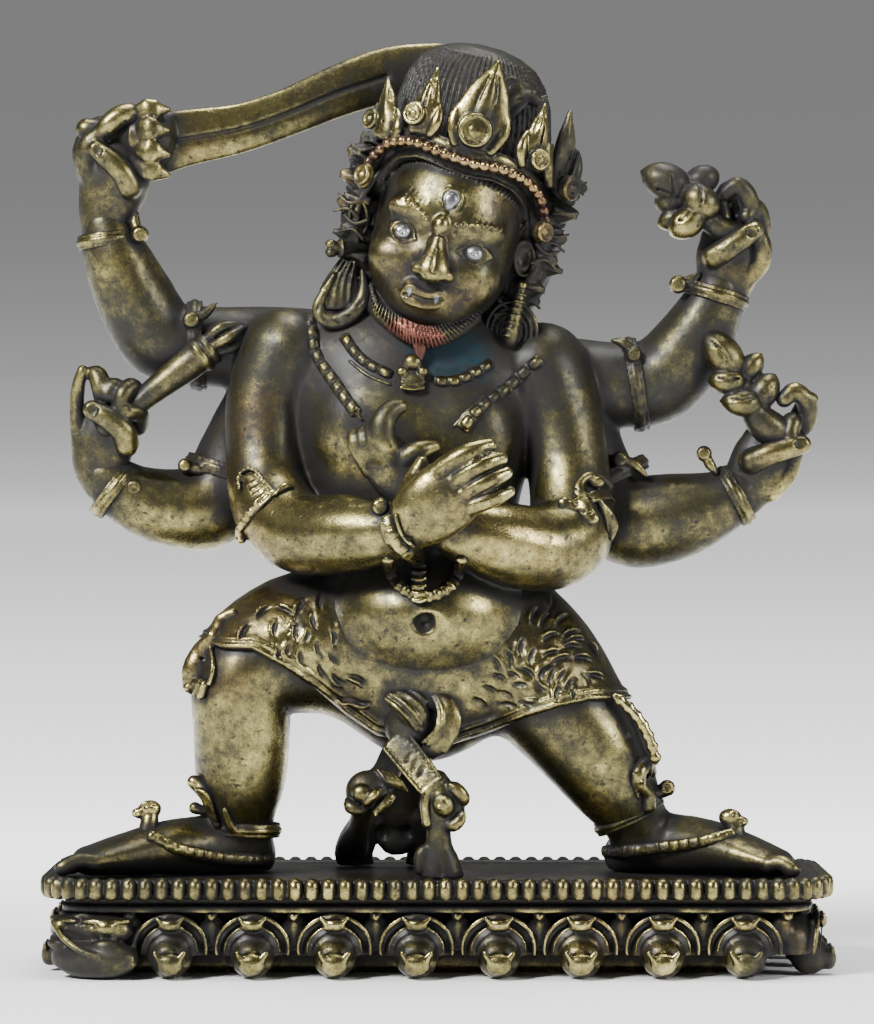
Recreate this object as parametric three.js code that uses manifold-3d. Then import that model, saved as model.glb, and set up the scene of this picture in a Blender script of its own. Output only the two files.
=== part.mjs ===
// A six-armed protector deity of cast brass, striding on a long lotus plinth.
// Millimetres, +Z up, the front towards -Y, the origin at the middle of the plinth's underside.
import * as THREE from "three";
import { mergeVertices } from "three/addons/utils/BufferGeometryUtils.js";
import Module from "manifold-3d";

// Driving dimensions of the plinth.
const PLINTH_LENGTH = 157;
const PLINTH_DEPTH = 58;
const PLINTH_TOP = 18.8;
const CORNER = 13;
const BEAD_HEIGHT = 5;
const BEAD_PITCH = 3.25;
const BEAD_DEPTH = 1.5;
const RIM_WIDTH = 3;
const CORE_INSET = 11;
const PETAL_PITCH = 16.3;
const PETAL_OFFSET = 4;
const PETAL_HALF_WIDTH = 7.3;
const LOBE_FOOT = 4.5;
const FOOT_INSET = 12;
const KNOB = 4.1;

// Driving dimensions of the figure.
const VIEW_DISTANCE = 900;
const VIEW_HEIGHT = 91;
const HEAD_AT = [1.5, -3, 146];
const HEAD_ROLL = THREE.MathUtils.degToRad(15);
const CROWN_HALF_WIDTH = 18.8;
const CROWN_HALF_DEPTH = 17;
const TORSO_SIDES = 16;
const LIMB_SIDES = 9;
const SMALL_SIDES = 5;
const FOOT_GAP = 0.3;
const FIGURE_FACES = 5800;
const PETAL_FACES = 2000;

const BRONZE = { color: 0x8a7a45, roughness: 0.42, metalness: 0.9 };
const DARK_BRONZE = { color: 0x5f5636, roughness: 0.5, metalness: 0.9 };

const wasm = await Module();
wasm.setup();

// Places were measured on a front view from VIEW_DISTANCE away, so a point in front of the
// middle plane looked larger than it is. This takes a measured point to its true place.
function seen(x, y, z) {
  const nearness = 1 + y / VIEW_DISTANCE;
  return new THREE.Vector3(x * nearness, y, VIEW_HEIGHT + (z - VIEW_HEIGHT) * nearness);
}

// A point of the head: across it, in front (-) or behind (+), and up its tilted axis.
function onHead(across, depth, up) {
  const point = new THREE.Vector3(across, depth, up);
  point.applyAxisAngle(new THREE.Vector3(0, 1, 0), HEAD_ROLL);
  point.add(new THREE.Vector3(...HEAD_AT));
  return seen(point.x, point.y, point.z);
}

// Solids

function triangles(geometry) {
  const bare = new THREE.BufferGeometry();
  bare.setAttribute("position", geometry.getAttribute("position"));
  if (geometry.index) bare.setIndex(geometry.index);
  const merged = mergeVertices(bare, 1e-4);
  return { vertices: merged.attributes.position.array, faces: new Uint32Array(merged.index.array) };
}

function solid(geometry) {
  const { vertices, faces } = triangles(geometry);
  const kept = [];
  for (let i = 0; i < faces.length; i += 3) {
    const [a, b, c] = [faces[i], faces[i + 1], faces[i + 2]];
    if (a !== b && b !== c && c !== a) kept.push(a, b, c);
  }
  const build = (triVerts) =>
    new wasm.Manifold(new wasm.Mesh({ numProp: 3, vertProperties: vertices, triVerts }));
  const made = build(new Uint32Array(kept));
  if (made.volume() > 0) return made;
  for (let i = 0; i < kept.length; i += 3) [kept[i + 1], kept[i + 2]] = [kept[i + 2], kept[i + 1]];
  return build(new Uint32Array(kept));
}

function joined(solids) {
  let queue = solids.flat(Infinity);
  while (queue.length > 1) {
    const next = [];
    for (let i = 0; i + 1 < queue.length; i += 2) next.push(queue[i].add(queue[i + 1]));
    if (queue.length % 2) next.push(queue[queue.length - 1]);
    queue = next;
  }
  return queue[0];
}

// The triangles of each separate shell of a solid.
function shells(faces, count) {
  const parent = Uint32Array.from({ length: count }, (_, i) => i);
  const root = (i) => {
    let at = i;
    while (parent[at] !== at) at = parent[at];
    while (parent[i] !== at) [i, parent[i]] = [parent[i], at];
    return at;
  };
  for (let i = 0; i < faces.length; i += 3) {
    parent[root(faces[i + 1])] = root(faces[i]);
    parent[root(faces[i + 2])] = root(faces[i]);
  }
  const groups = new Map();
  for (let i = 0; i < faces.length; i += 3) {
    const key = root(faces[i]);
    if (!groups.has(key)) groups.set(key, []);
    groups.get(key).push(faces[i], faces[i + 1], faces[i + 2]);
  }
  return [...groups.values()];
}

function enclosed(points, faces) {
  const corner = (i) => new THREE.Vector3().fromArray(points, 3 * i);
  let sum = 0;
  for (let i = 0; i < faces.length; i += 3) {
    sum += corner(faces[i]).dot(corner(faces[i + 1]).cross(corner(faces[i + 2])));
  }
  return sum / 6;
}

// How far a moved corner strays from the planes of its faces: the sum of squared distances,
// held as the ten different entries of a symmetric matrix.
function planeSums(corners, faces) {
  const sums = corners.map(() => new Float64Array(10));
  faces.forEach((face) => {
    const [a, b, c] = face.map((i) => corners[i]);
    const normal = new THREE.Vector3().crossVectors(b.clone().sub(a), c.clone().sub(a));
    const area = normal.length() / 2;
    normal.normalize();
    const plane = [normal.x, normal.y, normal.z, -normal.dot(a)];
    let entry = 0;
    for (let i = 0; i < 4; i++) {
      for (let j = i; j < 4; j++, entry++) {
        face.forEach((corner) => (sums[corner][entry] += area * plane[i] * plane[j]));
      }
    }
  });
  return sums;
}

function strayed(sum, { x, y, z }) {
  const [xx, xy, xz, x1, yy, yz, y1, zz, z1, one] = sum;
  return (
    x * (xx * x + 2 * (xy * y + xz * z + x1)) + y * (yy * y + 2 * (yz * z + y1)) + z * (zz * z + 2 * z1) + one
  );
}

// Merges the corners that matter least, pair by pair, until a closed skin has few enough faces.
function simplified(points, indices, target) {
  const corners = [];
  for (let i = 0; i < points.length; i += 3) corners.push(new THREE.Vector3().fromArray(points, i));
  let faces = Array.from({ length: indices.length / 3 }, (_, i) => indices.slice(3 * i, 3 * i + 3));
  const sums = planeSums(corners, faces);
  const normalOf = (face, moved, to) => {
    const [a, b, c] = face.map((i) => (i === moved ? to : corners[i]));
    return new THREE.Vector3().crossVectors(b.clone().sub(a), c.clone().sub(a));
  };
  for (let pass = 0; pass < 60 && faces.length > target; pass++) {
    const around = corners.map(() => []);
    faces.forEach((face) => face.forEach((corner) => around[corner].push(face)));
    const neighbours = around.map((ring, i) => new Set(ring.flat().filter((j) => j !== i)));
    const pairs = [];
    neighbours.forEach((set, i) => set.forEach((j) => {
      if (i > j) return;
      const middle = corners[i].clone().lerp(corners[j], 0.5);
      const both = sums[i].map((value, k) => value + sums[j][k]);
      const options = [middle, corners[i], corners[j]].map((to) => [strayed(both, to), to]);
      const [cost, to] = options.reduce((best, option) => (option[0] < best[0] ? option : best));
      pairs.push({ i, j, to, both, cost: cost + 1e-4 * corners[i].distanceToSquared(corners[j]) });
    }));
    pairs.sort((a, b) => a.cost - b.cost);
    const limit = pairs[Math.floor(pairs.length * 0.25)].cost;
    const busy = new Set();
    let count = faces.length;
    for (const { i, j, to, both, cost } of pairs) {
      if (count <= target || cost > limit) break;
      if (busy.has(i) || busy.has(j)) continue;
      if ([...neighbours[i]].filter((k) => neighbours[j].has(k)).length !== 2) continue;
      const turned = (from, other) => around[from].some((face) => {
        if (face.includes(other)) return false;
        const [before, after] = [normalOf(face, -1, null), normalOf(face, from, to)];
        return before.dot(after) < 0.3 * before.length() * after.length() || after.length() < 1e-3;
      });
      if (turned(i, j) || turned(j, i)) continue;
      [i, j, ...neighbours[i], ...neighbours[j]].forEach((k) => busy.add(k));
      around[j].forEach((face) => face.splice(face.indexOf(j), 1, i));
      corners[i] = to.clone();
      sums[i] = both;
      count -= 2;
    }
    faces = faces.filter(([a, b, c]) => a !== b && b !== c && c !== a);
  }
  return { corners, faces };
}

function geometryOf(made) {
  const { vertProperties, triVerts } = made.getMesh();
  const geometry = new THREE.BufferGeometry();
  geometry.setAttribute("position", new THREE.BufferAttribute(vertProperties, 3));
  geometry.setIndex(new THREE.BufferAttribute(triVerts, 1));
  return geometry;
}

// A cast solid has no sealed hollows, so only its outer shell is kept, with few enough faces.
function lightened(made, target) {
  const { vertProperties, triVerts } = made.getMesh();
  const outer = shells(triVerts, vertProperties.length / 3).filter((s) => enclosed(vertProperties, s) > 1);
  const { corners, faces } = simplified(vertProperties, outer.flat(), target);
  const geometry = new THREE.BufferGeometry().setFromPoints(corners);
  geometry.setIndex(faces.flat());
  return solid(geometry);
}

function mesh(name, made, finish) {
  const geometry = geometryOf(made);
  geometry.computeVertexNormals();
  const piece = new THREE.Mesh(geometry, new THREE.MeshStandardMaterial(finish));
  piece.name = name;
  return piece;
}

function middleOf(ring) {
  return ring.reduce((sum, point) => sum.add(point), new THREE.Vector3()).divideScalar(ring.length);
}

// A closed skin over rings of points, with a fan to a tip at each end.
function skin(rings, tips = [middleOf(rings[0]), middleOf(rings[rings.length - 1])]) {
  const count = rings[0].length;
  const points = rings.flat();
  const faces = [];
  const last = (rings.length - 1) * count;
  for (let r = 0; r < rings.length - 1; r++) {
    for (let i = 0; i < count; i++) {
      const [a, b] = [r * count + i, r * count + ((i + 1) % count)];
      faces.push(a, b, b + count, a, b + count, a + count);
    }
  }
  const [first, end] = tips.map((tip) => points.push(tip) - 1);
  for (let i = 0; i < count; i++) {
    const j = (i + 1) % count;
    faces.push(first, j, i, end, last + i, last + j);
  }
  const geometry = new THREE.BufferGeometry().setFromPoints(points);
  geometry.setIndex(faces);
  return solid(geometry);
}

// A smooth path of stations [x, y, z, radius, thickness], already at their true places.
function smooth(stations, perSpan) {
  const places = stations.map((s) => new THREE.Vector3(s[0], s[1], s[2]));
  const sizes = stations.map((s) => new THREE.Vector3(s[3], s[4] ?? s[3], 0));
  const path = new THREE.CatmullRomCurve3(places, false, "catmullrom", 0.5);
  const girth = new THREE.CatmullRomCurve3(sizes, false, "catmullrom", 0.5);
  const count = (stations.length - 1) * perSpan;
  return Array.from({ length: count + 1 }, (_, i) => {
    const t = i / count;
    return { place: path.getPoint(t), along: path.getTangent(t), size: girth.getPoint(t) };
  });
}

// A limb, cord or blade along stations, with pointed ends. Its thickness lies towards `facing`.
// Its corners stand a little proud, so that the flats between them don't thin it.
function limb(stations, { sides = LIMB_SIDES, perSpan = 1, facing = [0, 1, 0], point = 0.6 } = {}) {
  const face = new THREE.Vector3(...facing);
  const steps = smooth(stations, perSpan);
  const fullness = 1.5 - 0.5 * Math.cos(Math.PI / sides);
  const rings = steps.map(({ place, along, size }) => {
    const side = new THREE.Vector3().crossVectors(along, face).normalize();
    const front = new THREE.Vector3().crossVectors(side, along).normalize();
    return Array.from({ length: sides }, (_, i) => {
      const angle = ((i + 0.5) / sides) * 2 * Math.PI;
      return place
        .clone()
        .addScaledVector(side, size.x * fullness * Math.cos(angle))
        .addScaledVector(front, size.y * fullness * Math.sin(angle));
    });
  });
  const tip = ({ place, along, size }, way) =>
    place.clone().addScaledVector(along, Math.min(size.x, size.y) * point * way);
  return skin(rings, [tip(steps[0], -1), tip(steps[steps.length - 1], 1)]);
}

function seenStations(stations) {
  return stations.map(([x, y, z, ...size]) => [...seen(x, y, z).toArray(), ...size]);
}

const body = (stations, options) => limb(seenStations(stations), options);
const thin = (stations, options) => body(stations, { sides: SMALL_SIDES, ...options });

// An ellipsoid at a true place.
function ball(place, [rx, ry, rz], { across = 8, up = 5, turn = null } = {}) {
  const geometry = new THREE.SphereGeometry(1, across, up);
  geometry.rotateX(Math.PI / 2);
  geometry.scale(rx, ry, rz);
  if (turn) geometry.applyQuaternion(turn);
  geometry.translate(place.x, place.y, place.z);
  return solid(geometry);
}

const rolled = new THREE.Quaternion().setFromAxisAngle(new THREE.Vector3(0, 1, 0), HEAD_ROLL);

// A ring round a limb: its middle, the limb's direction there, its radius and thickness.
function band(place, along, radius, thick) {
  const geometry = new THREE.TorusGeometry(radius, thick, 4, 11);
  const axis = new THREE.Vector3(...along).normalize();
  geometry.applyQuaternion(new THREE.Quaternion().setFromUnitVectors(new THREE.Vector3(0, 0, 1), axis));
  geometry.translate(place.x, place.y, place.z);
  return solid(geometry);
}

// A slab seen from the front: an outline in x and z, between two depths.
function slab(outline, front, back) {
  const shape = new THREE.Shape(outline.map(([x, z]) => new THREE.Vector2(x, z)));
  const geometry = new THREE.ExtrudeGeometry(shape, { depth: back - front, bevelEnabled: false });
  geometry.rotateX(Math.PI / 2);
  geometry.translate(0, back, 0);
  return solid(geometry);
}

// Lays a line of stations [x, z, radius, thickness], as measured on the front view, onto whatever
// part of the model the view meets there. Off its edge, a station keeps the nearest one's depth,
// or the given depth where the whole line is off it.
function layerOn(target) {
  const eye = new THREE.Vector3(0, -VIEW_DISTANCE, VIEW_HEIGHT);
  const skinOf = new THREE.Mesh(geometryOf(target));
  const ray = new THREE.Raycaster();
  const depthAt = (x, z) => {
    ray.set(eye, new THREE.Vector3(x, 0, z).sub(eye).normalize());
    return ray.intersectObject(skinOf)[0]?.point.y;
  };
  return (stations, { lift = 0, depth: given = 0, ...options } = {}) => {
    const depths = stations.map(([x, z]) => depthAt(x, z));
    const placed = stations.map(([x, z, ...size], i) => {
      const order = depths.map((_, k) => k).sort((a, b) => Math.abs(a - i) - Math.abs(b - i));
      const depth = depths[order.find((k) => depths[k] !== undefined)] ?? given;
      return [x, depth - lift, z, ...size];
    });
    if (placed.length === 1) {
      const [x, y, z, rx, ry = rx, rz = rx] = placed[0];
      return ball(seen(x, y, z), [rx, ry, rz], options);
    }
    return thin(placed, options);
  };
}

// Torso and limbs

// Stations of the trunk, from the hips up: x, y, z, half width, half depth.
const TRUNK = [
  [-3, 1, 50, 12, 9],
  [-2.5, 0, 57, 19, 14],
  [-2.5, -1, 66, 21.5, 16],
  [-3, -1, 76, 20.5, 15.5],
  [-4, 1, 88, 20, 15],
  [-5, 1, 100, 23, 15.5],
  [-5, 1.5, 112, 26, 15.5],
  [-4.5, 2, 121, 25, 13],
  [-4, 2.5, 128, 15, 10],
  [-2, 1.5, 135, 9.5, 9.5],
];

const BELLY = { place: [-2.2, -5.5, 70.5], radii: [20, 17.5, 14] };

const ARMS = {
  rightMain: [
    [-30, 1, 122.5, 9.4],
    [-34, 0, 113, 8.2],
    [-34.4, -2, 102, 7.8],
    [-33, -6, 92.5, 8.2],
    [-27.5, -13, 86.7, 8],
    [-18, -20.5, 86.6, 7.7],
    [-10, -26, 87, 6],
    [-5.5, -29, 87.8, 5],
  ],
  leftMain: [
    [21, 1, 119.5, 9.4],
    [24.5, 0, 109, 8.6],
    [26.5, -3, 97.5, 8.2],
    [26.5, -8.5, 86.5, 8.6],
    [20.5, -14, 83.6, 8.5],
    [12, -19, 85.2, 7.8],
    [4, -22, 87.8, 6],
    [-2.5, -22, 92.5, 5],
  ],
  rightUpper: [
    [-22, 8, 122, 9.5],
    [-34, 9.5, 123.6, 8.5],
    [-46, 9.5, 124, 8.1],
    [-55, 9, 125.5, 8.3],
    [-60, 7.5, 133, 8],
    [-63.8, 6, 141, 6.9],
    [-66.2, 5, 148, 4.9],
  ],
  rightLower: [
    [-24, 8, 119, 9],
    [-34, 9.5, 112, 8.3],
    [-40.3, 10, 102, 7.8],
    [-44.5, 9, 92.5, 8.6],
    [-53, 7.5, 91.7, 7.9],
    [-60.5, 6, 93.8, 6.6],
    [-66.5, 5, 98, 5],
  ],
  leftUpper: [
    [16, 8, 117, 9.5],
    [26, 9.5, 117, 8.9],
    [36, 9.5, 116.3, 8.6],
    [44, 9, 117.2, 8.7],
    [49.6, 7.5, 122.5, 8.2],
    [53.6, 6, 129, 7],
    [56.3, 5, 135.2, 5.4],
  ],
  leftLower: [
    [18, 8, 114, 9],
    [27, 9.5, 107, 8.4],
    [32, 10, 97, 8.2],
    [38, 9, 89.4, 9.3],
    [46.5, 7.5, 89.8, 8.9],
    [54.5, 6, 92, 7],
    [60.6, 5, 95.2, 5.2],
  ],
};

const LEGS = {
  right: [
    [-12, 1, 64, 14.6],
    [-25, -3, 64.6, 13.9],
    [-34.5, -6.5, 61.5, 11.8],
    [-39, -8.5, 55.5, 10],
    [-39, -7, 47, 9.6],
    [-39.2, -5, 38.5, 9],
    [-39, -3, 31, 6.6],
    [-39, -1, 25, 6],
  ],
  left: [
    [11, 0, 66, 14.6],
    [18.5, -2, 59.5, 13.7],
    [25, -4, 51.5, 12],
    [30.5, -5, 44, 10.4],
    [35, -4.5, 37, 8.7],
    [39, -3, 30.6, 6.7],
    [41, -1.5, 25.5, 6],
  ],
};

const FEET = {
  right: [
    [-37.5, 2, 22.8, 4.5, 5.5],
    [-44, -2, 23.8, 6.2, 6.6],
    [-53, -6, 23.8, 5.6, 7.2],
    [-62, -9.5, 22.4, 4.4, 7.6],
    [-69.4, -12.5, 21.2, 3, 7.4],
  ],
  left: [
    [38.5, 3, 22.8, 4.5, 5.5],
    [46, -1, 24.2, 6.2, 6.4],
    [54, -5.5, 23.8, 5.6, 7],
    [61.5, -10, 22.2, 4.4, 7.4],
    [67.4, -13.5, 20.8, 3, 7.2],
  ],
};

function toes(foot, outwards, longest) {
  const [x, y, z] = foot[foot.length - 1];
  return [-2, -1, 0, 1, 2].map((k) => {
    const start = [x - outwards, y + k * 2.8, z - 0.4, 1.7];
    const end = [x + outwards * (longest - Math.max(0, k) * 0.9), y + k * 2.9 - 1.2, z - 1.4, 1.5];
    return thin([start, end]);
  });
}

function trunk() {
  const rings = smooth(seenStations(TRUNK), 1).map(({ place, size }) =>
    Array.from({ length: TORSO_SIDES }, (_, i) => {
      const angle = (i / TORSO_SIDES) * 2 * Math.PI;
      return new THREE.Vector3(
        place.x + size.x * Math.cos(angle),
        place.y + size.y * Math.sin(angle),
        place.z,
      );
    }),
  );
  const belly = ball(seen(...BELLY.place), BELLY.radii, { across: 14, up: 8 });
  return [skin(rings), belly];
}

// Hands: each finger bends from its root past a knuckle to its tip.
function finger(root, knuckle, tip, radius = 1.6) {
  return thin([[...root, radius], [...knuckle, radius], [...tip, radius * 0.8]]);
}

// A raised hand: its palm, and each finger along its own bends.
const HANDS = {
  sword: {
    palm: [[-66.4, 5, 147, 4.8, 4.4], [-66, 4.6, 151.5, 5.8, 4.4], [-64.6, 4, 156.4, 7, 4.6],
      [-64, 4, 160.4, 6.6, 4.4], [-64, 4.4, 163.4, 5, 3.6]],
    fingers: [
      [[-61.4, 0.4, 156, 2.6], [-63, -0.6, 159, 2.4], [-66, -0.8, 161.8, 2.2], [-68, -0.4, 163.4, 1.9]],
      [[-68, 3, 156, 2.4], [-70, 2.4, 160, 2.3], [-69.8, 1.4, 164, 2.2], [-67.6, 0.8, 166.4, 1.9]],
      [[-60, 3.6, 168, 2], [-61, 1, 170.4, 2.2], [-63.6, 0, 170, 2.2], [-66, 0, 168, 2.1], [-67, 1, 166.4, 1.6]],
      [[-70, 6, 158, 2], [-71, 6.4, 163, 2], [-68.6, 6, 167.6, 2], [-64.6, 6, 168.6, 1.8]],
    ],
  },
  thunderbolt: {
    palm: [[-66.6, 5, 97.4, 4.8, 4.4], [-67.2, 4.4, 101, 5.8, 4.2], [-66.6, 3.8, 105.4, 6.2, 4],
      [-65.6, 3.6, 109, 5, 3.4]],
    fingers: [
      [[-62, 0.6, 104.4, 2.5], [-62.8, -1, 107.2, 2.5], [-66, -1.6, 109.8, 2.3], [-69, -1.4, 111.4, 1.9]],
      [[-71.4, 3.4, 104, 1.7], [-72, 2.4, 110, 1.5], [-71.8, 1.6, 115.6, 1.4], [-70.9, 1, 119.2, 1.1]],
      [[-66, 3.6, 110, 2.2], [-66.8, 0.6, 114.6, 2.1], [-67.8, 1, 118, 2], [-69, 1.8, 118.6, 1.5]],
      [[-60.6, 4.4, 110, 2], [-60.8, 1, 115.6, 2], [-62.6, -1.2, 114.6, 1.9], [-63.6, -1.2, 111.8, 1.6]],
    ],
  },
  upperSpray: {
    palm: [[56.8, 5, 134.6, 5.2, 4.6], [58, 4.4, 138.6, 6.2, 4.4], [58.2, 4, 142.6, 6.4, 4.2],
      [57.6, 3.6, 146, 5, 3.6]],
    fingers: [
      [[55.4, 0.4, 142, 2.5], [58, -0.8, 143.6, 2.4], [61, -1, 145.6, 2.3], [63.4, -0.6, 147.2, 1.9]],
      [[61.6, 3, 137.6, 2.2], [64.4, 2.4, 140.6, 2.2], [64.8, 1.6, 144.4, 2.1], [63.4, 1, 147.6, 1.8]],
      [[60, 4, 147, 2], [62.6, 3, 150, 2.1], [62, 1.4, 154, 2.1], [60, 0.6, 156.2, 1.8], [57.6, 0.8, 154.6, 1.5]],
      [[63, 5, 142, 2], [64.8, 4.6, 147.6, 2], [64, 3, 151.6, 1.8], [62, 1.2, 150, 1.6]],
    ],
  },
  lowerSpray: {
    palm: [[61, 5, 94.6, 5, 4.4], [63.4, 4.4, 98, 6, 4.2], [65.4, 4, 101.6, 6.4, 4], [66.4, 3.6, 105, 5.4, 3.4]],
    fingers: [
      [[63, 0, 101, 2.5], [66, -1.2, 102.4, 2.4], [70, -1.2, 103.6, 2.2], [73, -0.8, 104.4, 1.9]],
      [[66.8, 3, 94.6, 1.8], [70, 2.6, 98, 1.8], [71.4, 2, 101.6, 1.7], [71.8, 1.4, 105, 1.5]],
      [[69, 4, 105, 2], [73.6, 3, 108.6, 2.1], [74, 1.6, 112.6, 1.9], [71.6, 1, 115, 1.9], [69.4, 0.6, 113.4, 1.7]],
      [[68, 3, 106, 2], [71, 0.6, 109, 2], [70.6, -0.6, 106.6, 1.8]],
    ],
  },
};

function hand({ palm, fingers }) {
  return [body(palm), fingers.map((stations) => thin(stations))];
}

function openHand() {
  const palm = body([
    [-6, -30, 87.4, 4.6, 4],
    [-3.4, -32.5, 90, 6.4, 3.8],
    [0.2, -34, 92.8, 7, 3.5],
    [3.4, -34.6, 95.2, 6.6, 3],
    [5, -34.8, 96.4, 5.4, 2.2],
  ]);
  const fingers = [
    [[-0.2, -34.8, 98.6, 2.1], [4.2, -36.2, 101.6, 2.15], [7.6, -36.2, 103.2, 2], [10.4, -35.2, 104.2, 1.5]],
    [[2.6, -35.4, 96.2, 2], [6.8, -37, 99.2, 2.05], [10.2, -36.8, 100.8, 1.9], [12.8, -35.6, 101.6, 1.35]],
    [[4, -35.4, 93.6, 1.95], [8.2, -37, 96.2, 2], [11.4, -36.8, 97.6, 1.8], [13.8, -35.8, 98.7, 1.3]],
    [[4.4, -34.8, 91.2, 1.85], [9, -36.2, 92.8, 1.85], [12.2, -36, 94.1, 1.65], [14.4, -35, 95, 1.2]],
    [[-6.4, -31, 92, 2.2], [-4.8, -31, 97, 2], [-3, -30.6, 100.8, 1.3]],
  ];
  return [palm, fingers.map((stations) => thin(stations))];
}

function hookedHand() {
  const palm = body([
    [-1.5, -22, 91, 5, 4],
    [-5, -22, 95, 5.2, 3.8],
    [-8.6, -21.5, 99.4, 5.4, 3.5],
    [-11, -21, 102.6, 4.8, 3],
  ]);
  const index = thin([
    [-8.6, -22.6, 101.4, 2.4],
    [-11, -24, 105.6, 2.3],
    [-11.2, -24, 109.6, 2],
    [-9.4, -23.6, 112.2, 1.7],
    [-7, -23.2, 112.8, 1],
  ]);
  const thumb = finger([-7.4, -22.6, 101], [-4.6, -23.6, 103], [-0.6, -23, 104.6], 1.9);
  const others = [0, 1, 2].map((k) =>
    finger(
      [-10.4 - k * 1.6, -22, 99],
      [-12.8 - k * 1.7, -24.6 + k * 0.7, 103.6],
      [-13 - k * 1.7, -23, 107.4 - k * 0.6],
    ),
  );
  return [palm, index, thumb, others];
}

// Attributes in the four raised hands

const BLADE = [
  [-57, 3, 165, 6.2, 1.7],
  [-50, 4, 165.8, 5.7, 1.6],
  [-40, 6, 167.5, 5, 1.6],
  [-30, 8, 170.8, 4.8, 1.6],
  [-20, 10, 175, 5.2, 1.6],
  [-10, 12, 178.3, 5.6, 1.6],
  [0, 13, 179.4, 5.4, 1.5],
  [9, 13, 180.6, 3.6, 1.3],
];

function sword() {
  const guard = [-7, 0, 7].map((turn) =>
    thin([[-62, 3, 166, 2.4, 3], [-58, 2.2, 165 + turn * 0.7, 2.2, 2.6], [-54.5, 2.4, 165 + turn, 0.9, 1]]),
  );
  const hilt = thin([[-69, 3, 167.6, 2.2], [-57, 3, 165.2, 2.4]]);
  const midrib = thin([[-56, 3.5, 163.6, 0.7, 2.3], [-36, 7, 167.6, 0.7, 2.2], [-17, 10.5, 175, 0.7, 2.1]], {
    sides: 4,
  });
  return [body(BLADE, { sides: 6 }), guard, hilt, midrib];
}

function thunderbolt() {
  const shaft = thin([[-64, 1, 109.5, 2.6], [-60, 1, 112, 2.5], [-52, 1, 118.6, 3.2], [-47.6, 1, 122.2, 3]], {
    sides: 8,
  });
  const collar = ball(seen(-46, 1, 123.2), [2.7, 2.7, 2.7]);
  const prongs = [0, 1, 2, 3].map((k) => {
    const angle = (k / 4) * 2 * Math.PI + 0.5;
    const [out, front] = [Math.cos(angle) * 2.1, Math.sin(angle) * 2.1];
    return thin([
      [-45.6, 1, 123.4, 1.1],
      [-42 + out * 0.5, 1 + front, 126 - out * 0.9, 1.3],
      [-38.4, 1, 127.6, 0.7],
    ]);
  });
  return [shaft, collar, prongs, thin([[-46, 1, 123, 1], [-38.4, 1, 127.6, 0.8]])];
}

// A bud or leaf-ball: an ellipsoid with a pointed tip, along a direction in the front view.
function bud([x, y, z], [dx, dz], length, radius) {
  const unit = 1 / Math.hypot(dx, dz);
  const at = (t) => [x + dx * unit * length * t, y, z + dz * unit * length * t];
  return thin([[...at(0), radius * 0.6], [...at(0.3), radius], [...at(0.65), radius * 0.85], [...at(1), 0.5]], {
    sides: 6,
  });
}

function upperSpray() {
  return [
    bud([49.6, 0, 155.4], [-1, 0.42], 9.4, 3.8),
    bud([50, 1, 154.4], [-1, -0.34], 6.6, 3),
    bud([50.8, 0.5, 156.4], [0.7, 0.3], 5.6, 3),
    bud([50.6, -2, 154.4], [0.9, -0.6], 6.2, 3.4),
    bud([50, 1, 150.6], [-1, -0.4], 6.2, 2.5),
    bud([52.4, -2, 150.4], [-1, -0.7], 6.8, 3.1),
    thin([[61, 2, 145.6, 2.8], [57, 1, 147.4, 2.6], [53.6, 0, 149.8, 2.1], [50, 0, 153, 1.8]], { sides: 6 }),
  ];
}

function lowerSpray() {
  return [
    bud([59.6, 0, 119], [-0.6, 0.78], 9.6, 3.9),
    bud([60.8, -1.4, 117], [-1, 0.02], 6.4, 2.7),
    bud([61, 1, 117.6], [0.62, 0.78], 6.2, 2.5),
    bud([64, -1.6, 112.4], [-1, 0.1], 7.2, 2.9),
    bud([63.6, 0.6, 112.4], [0.55, 0.83], 7, 3.1),
    thin([[71, 2, 105, 3], [66.6, 1, 107.6, 3.6], [63.6, 0, 110.6, 2.8], [61, 0, 116.4, 1.9]], { sides: 6 }),
  ];
}

// Head, crown and hair, in the head's own tilted frame

function headPart(stations, options) {
  const placed = stations.map(([across, depth, up, ...size]) => [...onHead(across, depth, up).toArray(), ...size]);
  return limb(placed, { sides: SMALL_SIDES, ...options });
}

const headBall = (at, radii, options) => ball(onHead(...at), radii, { turn: rolled, ...options });

function face() {
  const skull = headBall([0, 0.5, 1], [15.2, 15, 17.6], { across: 16, up: 10 });
  const jaw = headBall([0, -4.2, -8], [12, 10.6, 10.8], { across: 12, up: 8 });
  const nose = headPart([[-1.2, -13.8, 1.5, 1.4], [-0.9, -15, -3, 1.9, 1.7], [-0.5, -16.2, -7.4, 3, 2]]);
  const wings = [-1, 1].map((side) =>
    headBall([side * 2.9 - 0.4, -14.8, -7.6], [1.7, 1.8, 1.4], { across: 6, up: 4 }),
  );
  const brows = [-1, 1].map((side) =>
    headPart([[side * 2.4 - 0.6, -14, 2.4, 1], [side * 6, -13.2, 4.4, 1.2], [side * 10.4, -10.6, 4.4, 0.8]]),
  );
  const eyes = [-8.3, 6.7].map((across) => headBall([across, -12.2, -1.5], [3.1, 2.1, 1.9]));
  const third = headBall([-0.6, -14, 7], [1.9, 1.5, 2.5]);
  const lips = [0, 1].map((k) =>
    headPart([
      [-5.6, -12.2, -11.4 - k, 0.7],
      [-0.8, -14.6 + k * 0.5, -11.8 - k * 2.8, 0.9],
      [4, -12.6, -11.2 - k, 0.7],
    ]),
  );
  const beard = headPart(
    [[-12, -4, -13, 1, 1.4], [-7.6, -8.6, -17.4, 1, 2], [0.4, -11.6, -20, 1.2, 2.6],
      [7.2, -8.6, -17.4, 1, 2.2], [11.6, -4.4, -12, 1, 1.4]],
    { facing: [0, 0, 1] },
  );
  return [skull, jaw, nose, wings, brows, eyes, third, lips, beard];
}

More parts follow.
